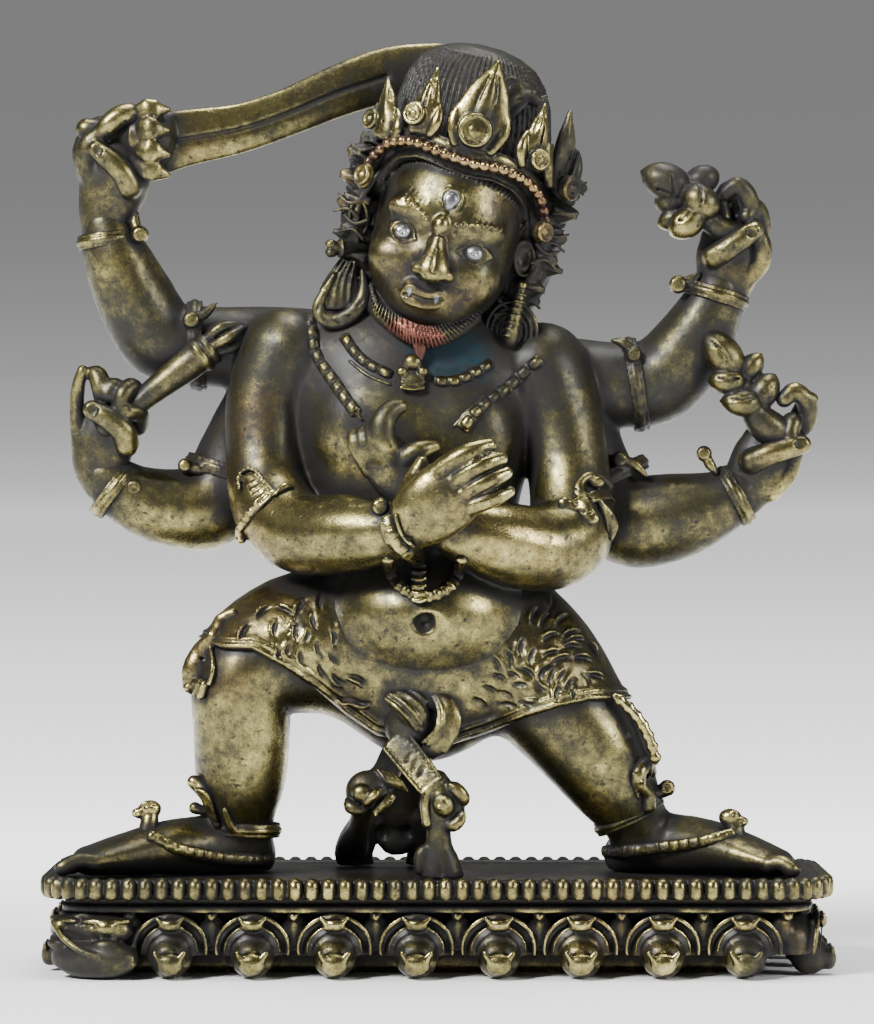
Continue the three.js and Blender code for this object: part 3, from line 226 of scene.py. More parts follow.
class Clay:
    """A block of distances to the surface, in millimetres, negative inside."""

    def __init__(self, low, high, step):
        self.step = step
        self.low = np.array(low, float)
        self.count = np.ceil((np.array(high, float) - self.low) / step).astype(int) + 1
        self.field = np.full(self.count, FAR, np.float32)

    def window(self, low, high):
        first = np.clip(np.floor((low - self.low) / self.step).astype(int), 0, self.count)
        last = np.clip(np.ceil((high - self.low) / self.step).astype(int) + 1, 0, self.count)
        return first, last

    def grid(self, first, last):
        axes = [self.low[k] + self.step * np.arange(first[k], last[k]) for k in range(3)]
        return np.meshgrid(*[axis.astype(np.float32) for axis in axes], indexing="ij", sparse=True)

    def measure(self, form, margin):
        """The form's own distances in the smallest window that holds it."""
        low = np.min([bit[0] for bit in form], axis=0) - margin
        high = np.max([bit[1] for bit in form], axis=0) + margin
        first, last = self.window(low, high)
        size = np.maximum(last - first, 0)
        own = np.full(size, FAR, np.float32)
        if not size.all():
            return None, None
        for bit_low, bit_high, distance in form:
            a, b = self.window(bit_low - margin, bit_high + margin)
            a, b = np.maximum(a, first), np.minimum(b, last)
            if (b <= a).any():
                continue
            part = tuple(slice(p, q) for p, q in zip(a - first, b - first))
            own[part] = np.minimum(own[part], distance(*self.grid(a, b)))
        return tuple(slice(p, q) for p, q in zip(first, last)), own

    def add(self, form, blend=0.0):
        where, own = self.measure(form, max(blend, 3 * self.step))
        if where:
            self.field[where] = soft_min(self.field[where], own, blend)

    def add_all(self, forms, blend):
        for form in forms:
            self.add(form, blend)

    def cut(self, form, blend=0.0):
        where, own = self.measure(form, max(blend, 3 * self.step))
        if where:
            self.field[where] = -soft_min(-self.field[where], own, blend)

    def keep(self, distance):
        """Keeps what lies inside a distance function of x, y and z."""
        x, y, z = self.grid(np.zeros(3, int), self.count)
        self.field = np.maximum(self.field, distance(x, y, z)).astype(np.float32)
        return self

    def at(self, points):
        """The distances at a list of points."""
        place = (np.asarray(points, float) - self.low) / self.step
        base = np.clip(np.floor(place).astype(int), 0, self.count - 2)
        part = np.clip(place - base, 0, 1)
        value = np.zeros(len(place))
        for corner in np.ndindex(2, 2, 2):
            share = np.prod(np.where(corner, part, 1 - part), axis=1)
            value += share * self.field[tuple((base + corner).T)]
        return value


# The depths at which the front view's lines are looked along, and their step
NEAREST, FARTHEST, LOOK = -48.0, 34.0, 0.2


def met(blocks, spots, behind=False):
    """Where the front view's lines through (x, z) first meet the clay, or None off its edge."""
    depths = np.arange(NEAREST, FARTHEST, LOOK)[::-1 if behind else 1]
    found = []
    for x, z in spots:
        line = np.array([seen(x, y, z) for y in depths])
        solid = np.min([block.at(line) for block in blocks], axis=0) < 0
        found.append(depths[np.argmax(solid)] if solid.any() else None)
    return found


def laid(blocks, stations, lift=0.0, depth=-6.0, behind=False):
    """Stations (x, z, sizes...) of the front view, laid on the clay they are seen against."""
    found = met(blocks, [s[:2] for s in stations], behind)
    lift = -lift if behind else lift
    known = [i for i, y in enumerate(found) if y is not None]
    made = []
    for i, s in enumerate(stations):
        y = found[min(known, key=lambda k: abs(k - i))] if known else depth
        made.append([*seen(s[0], y - lift, s[1]), *s[2:]])
    return made


def spot_on(blocks, x, z, lift=0.0):
    """The place on the clay that the front view sees at (x, z)."""
    return np.array(laid(blocks, [(x, z)], lift)[0])


def inlaid(blocks, runs, radius, lift):
    """Thin cords of one radius laid on the clay through bare places (x, z)."""
    return (tube(laid(blocks, [(*s, radius) for s in run], lift)) for run in runs)


def floor_cut(x, y, z):
    return (PLINTH_TOP + FLOOR_GAP) - z + 0 * x + 0 * y


def bump(value, middle, half):
    return np.exp(-(((value - middle) / half) ** 2))


# Casting: clay to mesh

castings = []
whole = Clay((-90, -50, -6), (90, 44, 196), STEPS["whole"])


def skin_of(clay, adaptivity):
    """The corners and faces of a block's surface, in millimetres, facing outwards."""
    grid = openvdb.FloatGrid(FAR)
    grid.copyFromArray(np.ascontiguousarray(clay.field))
    points, triangles, quads = grid.convertToPolygons(0.0, adaptivity)
    points = np.asarray(points, np.float64) * clay.step + clay.low
    faces = [np.asarray(triangles, np.int32).reshape(-1, 3), np.asarray(quads, np.int32).reshape(-1, 4)]
    volume = 0.0
    for face in faces:
        corner = points[face]
        normal = np.cross(corner[:, 2] - corner[:, 0], corner[:, -1] - corner[:, 1])
        volume += (normal * (corner.mean(1) - points.mean(0))).sum()
    return points, [face if volume > 0 else face[:, ::-1] for face in faces]


def remember(clay):
    """Adds a block to the coarse clay of the whole object."""
    high = clay.low + clay.step * (clay.count - 1)
    first, last = whole.window(clay.low, high)
    index = []
    for axis, line in enumerate(whole.grid(first, last)):
        cell = np.round((line.ravel() - clay.low[axis]) / clay.step).astype(int)
        index.append(np.clip(cell, 0, clay.count[axis] - 1))
    part = tuple(slice(a, b) for a, b in zip(first, last))
    whole.field[part] = np.minimum(whole.field[part], clay.field[np.ix_(*index)])


def write(mesh, name, values):
    attribute = mesh.attributes.new(name, "FLOAT", "POINT")
    attribute.data.foreach_set("value", np.asarray(values, np.float32))


def cast(name, blocks, marks=None, adaptivity=0.05):
    """Casts blocks of clay as one mesh object, in metres. `marks` names forms to be coloured."""
    every, loops, totals, offset = [], [], [], 0
    for clay in blocks:
        points, faces = skin_of(clay, adaptivity)
        for face in faces:
            loops.append((face + offset).ravel())
            totals.append(np.full(len(face), face.shape[1], np.int32))
        every.append(points)
        offset += len(points)
        remember(clay)
    points, loops, totals = (np.concatenate(part) for part in (every, loops, totals))
    mesh = bpy.data.meshes.new(name)
    mesh.vertices.add(len(points))
    mesh.vertices.foreach_set("co", (points / MM).astype(np.float32).ravel())
    mesh.loops.add(len(loops))
    mesh.loops.foreach_set("vertex_index", loops.astype(np.int32))
    mesh.polygons.add(len(totals))
    starts = np.concatenate([[0], np.cumsum(totals)[:-1]]).astype(np.int32)
    mesh.polygons.foreach_set("loop_start", starts)
    mesh.polygons.foreach_set("loop_total", totals)
    mesh.update(calc_edges=True)
    mesh.validate()
    mesh.polygons.foreach_set("use_smooth", np.ones(len(totals), bool))
    piece = bpy.data.objects.new(name, mesh)
    bpy.context.collection.objects.link(piece)
    castings.append((piece, points))
    for mark, forms in (marks or {}).items():
        x, y, z = points.T
        away = np.min([distance(x, y, z) for form in forms for _, _, distance in form], axis=0)
        write(mesh, mark, np.clip(0.5 - away / MARK_EDGE, 0, 1))
    return piece


# Body

TRUNK = [
    (-3, 1, 50, 12, 9), (-2.5, 0, 57, 19, 14), (-2.5, -1, 66, 21.5, 16), (-3, -1, 76, 20.5, 15.5),
    (-4, 1, 88, 20, 15), (-5, 1, 100, 23, 15.5), (-5, 1.5, 112, 26, 15.5), (-4.5, 2, 121, 25, 13),
    (-4, 2.5, 128, 15, 10), (-2, 1.5, 135, 9.5, 9.5),
]
LEGS = {
    "right": [
        (-12, 1, 64, 14.6), (-25, -3, 64.6, 13.9), (-34.5, -6.5, 61.5, 11.8), (-39, -8.5, 55.5, 10),
        (-39, -7, 47, 9.6), (-39.2, -5, 38.5, 9), (-39, -3, 31, 6.6), (-39, -1, 25, 6),
    ],
    "left": [
        (11, 0, 66, 14.6), (18.5, -2, 59.5, 13.7), (25, -4, 51.5, 12), (30.5, -5, 44, 10.4),
        (35, -4.5, 37, 8.7), (39, -3, 30.6, 6.7), (41, -1.5, 25.5, 6),
    ],
}
FEET = {
    "right": [
        (-37.5, 2, 22.8, 4.5, 5.5), (-44, -2, 23.8, 6.2, 6.6), (-53, -6, 23.8, 5.6, 7.2),
        (-62, -9.5, 22.4, 4.4, 7.6), (-69.4, -12.5, 21.2, 3, 7.4),
    ],
    "left": [
        (38.5, 3, 22.8, 4.5, 5.5), (46, -1, 24.2, 6.2, 6.4), (54, -5.5, 23.8, 5.6, 7),
        (61.5, -10, 22.2, 4.4, 7.4), (67.4, -13.5, 20.8, 3, 7.2),
    ],
}
# Which way each foot points, and how long its toes are
TOES = {"right": (-1, (5.4, 5.6, 5.2, 4.4, 3.6)), "left": (1, (3.6, 3.8, 3.4, 2.8, 2.2))}
HEELS = [((-37.5, 3.2, 22), (5, 4.4, 4.4)), ((38.6, 4, 22.4), (5, 4.4, 4.4))]
ARMS = {
    "right_main": [
        (-30, 1, 122.5, 9.4), (-34, 0, 113, 8.2), (-34.4, -2, 102, 7.8), (-33, -6, 92.5, 8.2),
        (-27.5, -13, 86.7, 8), (-18, -20.5, 86.6, 7.7), (-10, -26, 87, 6), (-5.5, -29, 87.8, 5),
    ],
    "left_main": [
        (21, 1, 119.5, 9.4), (24.5, 0, 109, 8.6), (26.5, -3, 97.5, 8.2), (26.5, -8.5, 86.5, 8.6),
        (20.5, -14, 83.6, 8.5), (12, -19, 85.2, 7.8), (4, -22, 87.8, 6), (-2.5, -22, 92.5, 5),
    ],
    "right_upper": [
        (-22, 8, 122, 9.5), (-34, 9.5, 123.6, 8.5), (-46, 9.5, 124, 8.1), (-55, 9, 125.5, 8.3),
        (-60, 7.5, 133, 8), (-63.8, 6, 141, 6.9), (-66.2, 5, 148, 4.9),
    ],
    "right_lower": [
        (-24, 8, 119, 9), (-34, 9.5, 112, 8.3), (-40.3, 10, 102, 7.8), (-44.5, 9, 92.5, 8.6),
        (-53, 7.5, 91.7, 7.9), (-60.5, 6, 93.8, 6.6), (-66.5, 5, 98, 5),
    ],
    "left_upper": [
        (16, 8, 117, 9.5), (26, 9.5, 117, 8.9), (36, 9.5, 116.3, 8.6), (44, 9, 117.2, 8.7),
        (49.6, 7.5, 122.5, 8.2), (53.6, 6, 129, 7), (56.3, 5, 135.2, 5.4),
    ],
    "left_lower": [
        (18, 8, 114, 9), (27, 9.5, 107, 8.4), (32, 10, 97, 8.2), (38, 9, 89.4, 9.3),
        (46.5, 7.5, 89.8, 8.9), (54.5, 6, 92, 7), (60.6, 5, 95.2, 5.2),
    ],
}
BELLY = ((-2.2, -5.5, 70.5), (20, 17.5, 14))
BREASTS = [((-13, -9.5, 108), (10, 5.5, 9)), ((6, -9.5, 106), (9, 5.5, 9))]


def toes(clay, tip, outwards, lengths):
    """Five toes beyond the tip of a foot, the big one first, each with its nail cut in."""
    for k, length in enumerate(lengths):
        lateral = (k - 2) * 2.8
        root = tip + (-1 * outwards, lateral, -0.4)
        end = tip + (outwards * length, lateral * 1.06 - 1.2, -1.4)
        size = 1.75 if k == 0 else 1.45
        middle = (root + end) / 2 + (0, 0, 0.9)
        clay.add(rod([(*root, size), (*middle, size * 0.9), (*end, size)]), 0.4)
        clay.cut(ball(seen(*(end + (outwards * 0.9, 0, 1.1))), (0.9, 0.9, 0.4)), 0.15)


def body_clay():
    clay = Clay((-86, -34, 17), (84, 22, 154), STEPS["body"])
    clay.add(rod(TRUNK, fine=4))
    clay.add(ball(seen(*BELLY[0]), BELLY[1]), 3)
    for place, radii in BREASTS:
        clay.add(ball(seen(*place), radii), 4)
    for stations in LEGS.values():
        clay.add(rod(stations, fine=4), 4)
    for side, (outwards, lengths) in TOES.items():
        clay.add(rod(FEET[side], fine=4), 2.5)
        toes(clay, np.array(FEET[side][-1][:3]), outwards, lengths)
    for place, radii in HEELS:
        clay.add(ball(seen(*place), radii), 2)
    for stations in ARMS.values():
        clay.add(rod(stations, fine=4), 1.5)
    # the navel, under a small fold
    clay.cut(ball(seen(-2.6, -22.6, 69), (1.9, 2.2, 2)), 1.6)
    clay.add(rod([(-4.2, -22.2, 70.4, 0.4), (-2.2, -22.5, 71.4, 0.7), (0.2, -22.3, 70.8, 0.3)]), 0.8)
    # the soles part from the plinth's top along a fine line
    return clay.keep(floor_cut)


# Hands

def hand(low, high, palm, fingers, blend=0.5):
    """A block of clay with a palm and its fingers."""
    clay = Clay(low, high, STEPS["hands"])
    clay.add(rod(palm, fine=4), 1)
    clay.add_all(map(rod, fingers), blend)
    return clay


def open_hand():
    """The right hand in front, its back to the viewer and its fingers pointing up to the left."""
    clay = hand((-16, -44, 78), (22, -24, 112), [
        (-6, -30, 87.4, 4.6, 4), (-3.4, -32.5, 90, 6.4, 3.8), (0.2, -34, 92.8, 7, 3.5),
        (3.4, -34.6, 95.2, 6.6, 3), (5, -34.8, 96.4, 5.4, 2.2),
    ], [
        [(-0.2, -34.8, 98.6, 2.1), (4.2, -36.2, 101.6, 2.15), (7.6, -36.2, 103.2, 2),
         (10.4, -35.2, 104.2, 1.5)],
        [(2.6, -35.4, 96.2, 2), (6.8, -37, 99.2, 2.05), (10.2, -36.8, 100.8, 1.9),
         (12.8, -35.6, 101.6, 1.35)],
        [(4, -35.4, 93.6, 1.95), (8.2, -37, 96.2, 2), (11.4, -36.8, 97.6, 1.8), (13.8, -35.8, 98.7, 1.3)],
        [(4.4, -34.8, 91.2, 1.85), (9, -36.2, 92.8, 1.85), (12.2, -36, 94.1, 1.65), (14.4, -35, 95, 1.2)],
    ], 0.25)
    # the clefts between the fingers, then the thumb
    for a, b in (((2.4, 98.2), (11.4, 102.8)), ((4.6, 95.4), (12.8, 100)), ((6, 92.8), (13.6, 96.8))):
        middle = ((a[0] + b[0]) / 2, (a[1] + b[1]) / 2 + 0.3)
        clay.cut(tube(laid([clay], [(*a, 0.16), (*middle, 0.3), (*b, 0.3)])), 0.2)
    clay.add(rod([(-6.4, -31, 92, 2.2), (-4.8, -31, 97, 2), (-3, -30.6, 100.8, 1.3)]), 1)
    return clay


def hooked_hand():
    """The left hand behind it, its forefinger crooked and the other three folded."""
    folded = [[(-10.4 - k * 1.6, -22, 99, 1.4), (-12.8 - k * 1.7, -24.6 + k * 0.7, 103.6, 1.4),
               (-13.2 - k * 1.7, -23.6 + k * 0.7, 107.4 - k * 0.6, 1.35),
               (-12.8 - k * 1.7, -21 + k * 0.5, 106.6 - k, 1.1)] for k in range(3)]
    return hand((-22, -30, 84), (8, -15, 118), [
        (-1.5, -22, 91, 5, 4), (-5, -22, 95, 5.2, 3.8), (-8.6, -21.5, 99.4, 5.4, 3.5),
        (-11, -21, 102.6, 4.8, 3),
    ], [
        [(-8.8, -22.6, 101, 2.9), (-10.8, -24, 105, 2.8), (-10.8, -24.2, 108.8, 2.5),
         (-9.2, -23.8, 111.2, 2.1), (-7.2, -23.4, 112, 1.4)],
        [(-7.4, -22.6, 100.6, 2.6), (-4.8, -23.8, 102.6, 2.2), (-2.4, -23.6, 103.6, 1.8),
         (-0.4, -23, 104, 1.2)],
        *folded,
    ], 0.2)


def sword_hand():
    clay = hand((-76, -6, 144), (-52, 13, 176), [
        (-66.4, 5, 147, 4.8, 4.4), (-66, 4.6, 151.5, 5.8, 4.4), (-64.6, 4, 156.4, 7, 4.6),
        (-64, 4, 160.4, 6.6, 4.4), (-64, 4.4, 163.4, 5, 3.6),
    ], [
        [(-61.4, 0.4, 156, 2.6), (-63, -0.6, 159, 2.4), (-66, -0.8, 161.8, 2.2), (-68, -0.4, 163.4, 1.9)],
        [(-68, 3, 156, 2.4), (-70, 2.4, 160, 2.3), (-69.8, 1.4, 164, 2.2), (-67.6, 0.8, 166.4, 1.9)],
        [(-60, 3.6, 168, 2), (-61, 1, 170.4, 2.2), (-63.6, 0, 170, 2.2), (-66, 0, 168, 2.1),
         (-67, 1, 166.4, 1.6)],
        [(-70, 6, 158, 2), (-71, 6.4, 163, 2), (-68.6, 6, 167.6, 2), (-64.6, 6, 168.6, 1.8)],
    ])
    clay.cut(rod([(-71.4, 1.6, 151.4, 0.4), (-69, -0.6, 154.4, 0.5), (-66.6, -0.9, 158, 0.4)]), 0.4)
    clay.cut(ball(seen(-68, -2.4, 163.4), (1.2, 0.5, 1.4)), 0.2)
    return clay


def bolt_hand():
    clay = hand((-78, -7, 92), (-54, 13, 124), [
        (-66.6, 5, 97.4, 4.8, 4.4), (-67.2, 4.4, 101, 5.8, 4.2), (-66.6, 3.8, 105.4, 6.2, 4),
        (-65.6, 3.6, 109, 5, 3.4),
    ], [
        [(-62, 0.6, 104.4, 2.5), (-62.8, -1, 107.2, 2.5), (-66, -1.6, 109.8, 2.3), (-69, -1.4, 111.4, 1.9)],
        [(-71.4, 3.4, 104, 1.7), (-72, 2.4, 110, 1.5), (-71.8, 1.6, 115.6, 1.4), (-70.9, 1, 119.2, 1.1)],
        [(-66, 3.6, 110, 2.2), (-66.8, 0.6, 114.6, 2.1), (-67.8, 1, 118, 2), (-69, 1.8, 118.6, 1.5)],
        [(-64.4, 4.4, 110.4, 2.1), (-64.4, 0.4, 115.8, 2), (-65.8, -0.4, 114.4, 1.9)],
        [(-60.6, 4.4, 110, 2), (-60.8, 1, 115.6, 2), (-62.6, -1.2, 114.6, 1.9), (-63.6, -1.2, 111.8, 1.6)],
        [(-59.6, 4.6, 108, 1.9), (-59.6, 1, 110.6, 1.9), (-61.8, -1.4, 111, 1.7)],
    ])
    clay.cut(rod([(-72.6, 0.8, 101.4, 0.4), (-70.4, -0.4, 104.6, 0.5), (-67.6, -1, 108, 0.4)]), 0.4)
    clay.cut(ball(seen(-69, -3.3, 111.4), (1.4, 0.5, 1.3)), 0.2)
    return clay


def spray_hand_upper():
    clay = hand((46, -7, 131), (70, 13, 160), [
        (56.8, 5, 134.6, 5.2, 4.6), (58, 4.4, 138.6, 6.2, 4.4), (58.2, 4, 142.6, 6.4, 4.2),
        (57.6, 3.6, 146, 5, 3.6),
    ], [
        [(55.4, 0.4, 142, 2.5), (58, -0.8, 143.6, 2.4), (61, -1, 145.6, 2.3), (63.4, -0.6, 147.2, 1.9)],
        [(61.6, 3, 137.6, 2.2), (64.4, 2.4, 140.6, 2.2), (64.8, 1.6, 144.4, 2.1), (63.4, 1, 147.6, 1.8)],
        [(60, 4, 147, 2), (62.6, 3, 150, 2.1), (62, 1.4, 154, 2.1), (60, 0.6, 156.2, 1.8),
         (57.6, 0.8, 154.6, 1.5)],
        [(58, 5, 147, 2), (60.4, 5, 152, 2), (58.6, 4, 155.4, 1.9), (56.8, 2.6, 153, 1.7),
         (57.4, 1.4, 149.6, 1.5)],
        [(63, 5, 142, 2), (64.8, 4.6, 147.6, 2), (64, 3, 151.6, 1.8), (62, 1.2, 150, 1.6)],
    ])
    clay.cut(ball(seen(63, -2.6, 147), (1.3, 0.5, 1.2)), 0.2)
    return clay


def spray_hand_lower():
    clay = hand((52, -7, 88), (80, 13, 120), [
        (61, 5, 94.6, 5, 4.4), (63.4, 4.4, 98, 6, 4.2), (65.4, 4, 101.6, 6.4, 4),
        (66.4, 3.6, 105, 5.4, 3.4),
    ], [
        [(63, 0, 101, 2.5), (66, -1.2, 102.4, 2.4), (70, -1.2, 103.6, 2.2), (73, -0.8, 104.4, 1.9)],
        [(66.8, 3, 94.6, 1.8), (70, 2.6, 98, 1.8), (71.4, 2, 101.6, 1.7), (71.8, 1.4, 105, 1.5)],
        [(69, 4, 105, 2), (73.6, 3, 108.6, 2.1), (74, 1.6, 112.6, 1.9), (71.6, 1, 115, 1.9),
         (69.4, 0.6, 113.4, 1.7)],
        [(71, 4.6, 107, 2), (73.4, 3.6, 112, 1.9), (74.8, 1.4, 113.4, 1.5)],
        [(68, 3, 106, 2), (71, 0.6, 109, 2), (70.6, -0.6, 106.6, 1.8)],
    ])
    clay.cut(ball(seen(72.8, -2.8, 104.6), (1.4, 0.5, 1.2)), 0.2)
    return clay


# Head: across, depth and up, tilted with the head

HEAD_AT = np.array([1.5, -3.0, 146.0])
HEAD_ROLL = math.radians(15)
HEAD_TURN = np.array([[math.cos(HEAD_ROLL), 0, math.sin(HEAD_ROLL)], [0, 1, 0],
        [-math.sin(HEAD_ROLL), 0, math.cos(HEAD_ROLL)]])


def on_head(stations):
    made = []
    for s in stations:
        place = HEAD_TURN @ np.array([s[0], 0, s[2]]) + HEAD_AT
        made.append([*seen(place[0], s[1] - 3, place[2]), *s[3:]])
    return made


def head_local(x, y, z):
    """Head coordinates (across, depth, up) of places, as the front view measures them."""
    near = 1 + y / VIEW_DISTANCE
    px, pz = x / near - HEAD_AT[0], VIEW_HEIGHT + (z - VIEW_HEIGHT) / near - HEAD_AT[2]
    return (px * HEAD_TURN[0, 0] + pz * HEAD_TURN[2, 0], y - HEAD_AT[1],
            px * HEAD_TURN[0, 2] + pz * HEAD_TURN[2, 2])


def head_ball(centre, radii, turn=None):
    axes = HEAD_TURN if turn is None else HEAD_TURN @ turn
    return ball(on_head([centre])[0], radii, axes)


def head_tube(stations, facing=(0, 1, 0), fine=3):
    return tube(on_head(stations), HEAD_TURN @ np.array(facing, float), fine)


def on_face(clay, stations, lift=0.0):
    """Stations (across, up, sizes...) laid on a block of the head as the front view sees it."""
    flat = [HEAD_TURN @ np.array([s[0], 0, s[1]]) + HEAD_AT for s in stations]
    return laid([clay], [(p[0], p[2], *s[2:]) for p, s in zip(flat, stations)], lift)


def face_line(clay, stations, lift=0.0):
    """A thin line laid on the face, through stations (across, up, radius)."""
    return tube(on_face(clay, stations, lift), fine=1)


def face_ball(clay, x, z, radii, lift=0.0):
    return ball(on_face(clay, [(x, z)], lift)[0], radii)


# Face

EYES = [(-8.3, -1.2), (6.7, -1.8)]
THIRD_EYE = (-0.6, 7.3)
FANGS = (-3.9, 1.7)
# The lumps of the flaming brow: across, up and radius
FLAME = [(-10.9, 4.4, 0.35), (-9.8, 5.2, 0.55), (-8.6, 5.1, 0.75), (-7.4, 4.5, 0.6), (-6.2, 3.7, 0.5),
         (-5, 3, 0.5), (-4.2, 2.2, 0.4)]
# The lines between which the beard's strokes run, and along which the hair starts
BEARD_INNER = [(-11.8, -12.6), (-9.2, -16), (-5, -17.5), (-1, -18.3), (3, -17.7), (7, -15.4), (10.4, -11)]
BEARD_OUTER = [(-12, -14.4), (-9.6, -18.2), (-4.2, -21.6), (0.8, -22.8), (6, -20.6), (9.6, -16),
               (12.2, -11.4)]
BEARD_STROKES, COMBED_STROKES = 42, 52
HAIRLINE = [(-14, 6), (-12.6, 11), (-9, 13.2), (-4, 13.5), (2.4, 12.7), (9.5, 11.4), (13.4, 8.4), (14.6, 4)]


def beard_depth(across):
    return -2.8 - 8.9 * math.cos(math.pi / 2 * max(-1.0, min(1.0, across / 12.6)))


def almond(clay, place, half, tilt, lift):
    """An eye: a ball between two raised lids that meet in pointed corners."""
    (x, z), (wide, tall) = place, half
    a = math.radians(tilt)
    for sign in (-1, 1):
        lid = []
        for t in np.linspace(-1, 1, 9):
            u, v = wide * t, sign * tall * (1 - abs(t) ** 1.6)
            lid.append((x + u * math.cos(a) - v * math.sin(a), z + u * math.sin(a) + v * math.cos(a),
                        0.34 + 0.12 * (1 - t * t)))
        clay.add(tube(on_face(clay, lid, lift), fine=1), 0.25)


def eye_in_socket(clay, place, wide, tilt):
    """Cheek, brow bone and a shallow socket with its eyeball between thin lids."""
    x, z = place
    side = -1 if x < 0 else 1
    clay.add(head_ball((x + side * 0.8, -8.6, z - 5.4), (4.6, 4.2, 4)), 4)
    clay.add(head_ball((x - side * 0.4, -10.9, z + 4.8), (4.4, 2.4, 1.8)), 3.5)
    clay.cut(head_ball((x, -14.9, z), (3.8, 2.1, 2.4)), 1.8)
    clay.add(head_ball((x, -11.3, z), (wide, 2.1, 2.1)), 0.8)
    almond(clay, (x, z), (wide, 1.9), tilt, -0.05)
    clay.add(face_ball(clay, x, z, (1.5, 0.95, 1.35), -0.55), 0.1)
    clay.cut(face_ball(clay, x, z, (0.42, 0.3, 0.42), 0.1), 0.1)
    iris = [(x + 1.9 * math.sin(t), z - 1.6 * math.cos(t), 0.28) for t in np.linspace(0, 2 * math.pi, 15)]
    clay.cut(face_line(clay, iris, 0.05), 0.1)


def brows(clay):
    """A lumpy flame at one side, a row of small curls at the other."""
    for x, z, r in FLAME:
        clay.add(face_ball(clay, x, z, (r * 1.2, r, r), -0.15), 0.25)
    for k in range(6):
        x = -9.6 + k * 0.9
        clay.add(face_line(clay, [(x, 6.2 - 0.25 * k, 0.26), (x + 0.5, 7.6 - 0.25 * k, 0.18)]), 0.08)
    for k in range(9):
        x, z = 1.9 + k * 1.06, 2.7 + 0.75 * math.sin(k / 3.4) + 0.1 * k
        clay.add(face_ball(clay, x, z, 0.52), 0.1)
        clay.add(face_ball(clay, x + 0.3, z + 0.55, 0.3), 0.05)


def third_eye(clay):
    """A drop standing between the brows in a raised rim."""
    x, z = THIRD_EYE
    clay.add(head_ball((x, -14, z - 0.3), (1.9, 1.3, 2.5)), 0.6)
    rim = [(x + 1.95 * math.sin(t) * (1 - 0.3 * math.cos(t)), z - 0.2 - 2.6 * math.cos(t), 0.3)
           for t in np.linspace(0, 2 * math.pi, 17)]
    clay.add(face_line(clay, rim), 0.15)
    clay.cut(face_line(clay, [(x + 0.78 * (a - x), z + 0.78 * (b - z), r) for a, b, r in rim], 0.05), 0.1)
    fold = [(x + 2.9 * math.sin(t), z - 2.9 * math.cos(t), 0.3) for t in np.linspace(0.5, 3.4, 9)]
    clay.add(face_line(clay, fold, -0.05), 0.2)


def nose(clay):
    """A knot at its root, two small rings, a flat creased ridge and flared wings."""
    clay.add(head_ball((-1.25, -14.6, 2), (1.6, 1.4, 2)), 0.7)
    for z in (-0.9, -1.9):
        clay.add(head_tube([(-2.4, -14.4, z, 0.4), (-1.1, -15.5, z + 0.2, 0.5), (0.3, -14.6, z, 0.4)]), 0.3)
    clay.add(head_tube([(-1.2, -13.6, 0, 1, 1.4), (-0.9, -14.6, -3, 1.8, 1.6), (-0.5, -15.7, -6.4, 3, 1.9),
            (-0.4, -16, -7.9, 3, 1.7)]), 0.8)
    clay.cut(tube(on_face(clay, [(-1.1, -2.6, 0.15), (-1, -5, 0.2), (-0.7, -7.4, 0.15)], 0.05)), 0.15)
    for side in (-1, 1):
        wing = -0.4 + side * 2.9
        clay.add(head_ball((wing, -14.8, -7.6), (1.6, 1.7, 1.35)), 0.5)
        clay.cut(head_ball((wing - side * 0.3, -16.3, -8.9), (0.7, 0.9, 0.45)), 0.3)
        clay.add(head_tube([(side * 4.4 - 0.5, -12.4, -6.8, 0.6), (side * 6 - 0.6, -11.4, -9.6, 0.8),
                (side * 6.2 - 0.7, -10.6, -12.2, 0.5)]), 1.6)


def mouth(clay):
    """Snarling: drawn lips over fangs."""
    clay.add(head_ball((-0.8, -10.6, -12.6), (5.4, 4.2, 3.2)), 2.2)
    clay.add(head_ball((-3.2, -13, -11), (1.8, 1.3, 1)), 0.9)
    slit = [(-5, -13.3, 0.35), (-3.2, -13.1, 0.5), (-0.6, -13.5, 0.55), (1.4, -13, 0.5), (2.9, -12, 0.3)]
    clay.cut(tube(on_face(clay, slit, 0.1)), 0.3)
    upper_lip = [(-5.3, -13.2, 0.3), (-4.9, -11.8, 0.4), (-3.6, -11.3, 0.45), (-1.5, -11.8, 0.42),
                 (0.3, -11.8, 0.42), (1.7, -11, 0.4), (2.9, -11.6, 0.3)]
    clay.add(tube(on_face(clay, upper_lip, 0)), 0.3)
    lower_lip = [(-4.9, -13.9, 0.25), (-3.9, -14.5, 0.4), (-2.1, -14.7, 0.42), (0.1, -14.7, 0.42),
                 (2, -14, 0.35), (3, -13, 0.25)]
    clay.add(tube(on_face(clay, lower_lip, -0.05)), 0.4)
    for x in FANGS:
        clay.add(head_tube([(x, -13.6, -12, 0.42), (x + 0.1, -14.2, -13.4, 0.2)]), 0.1)


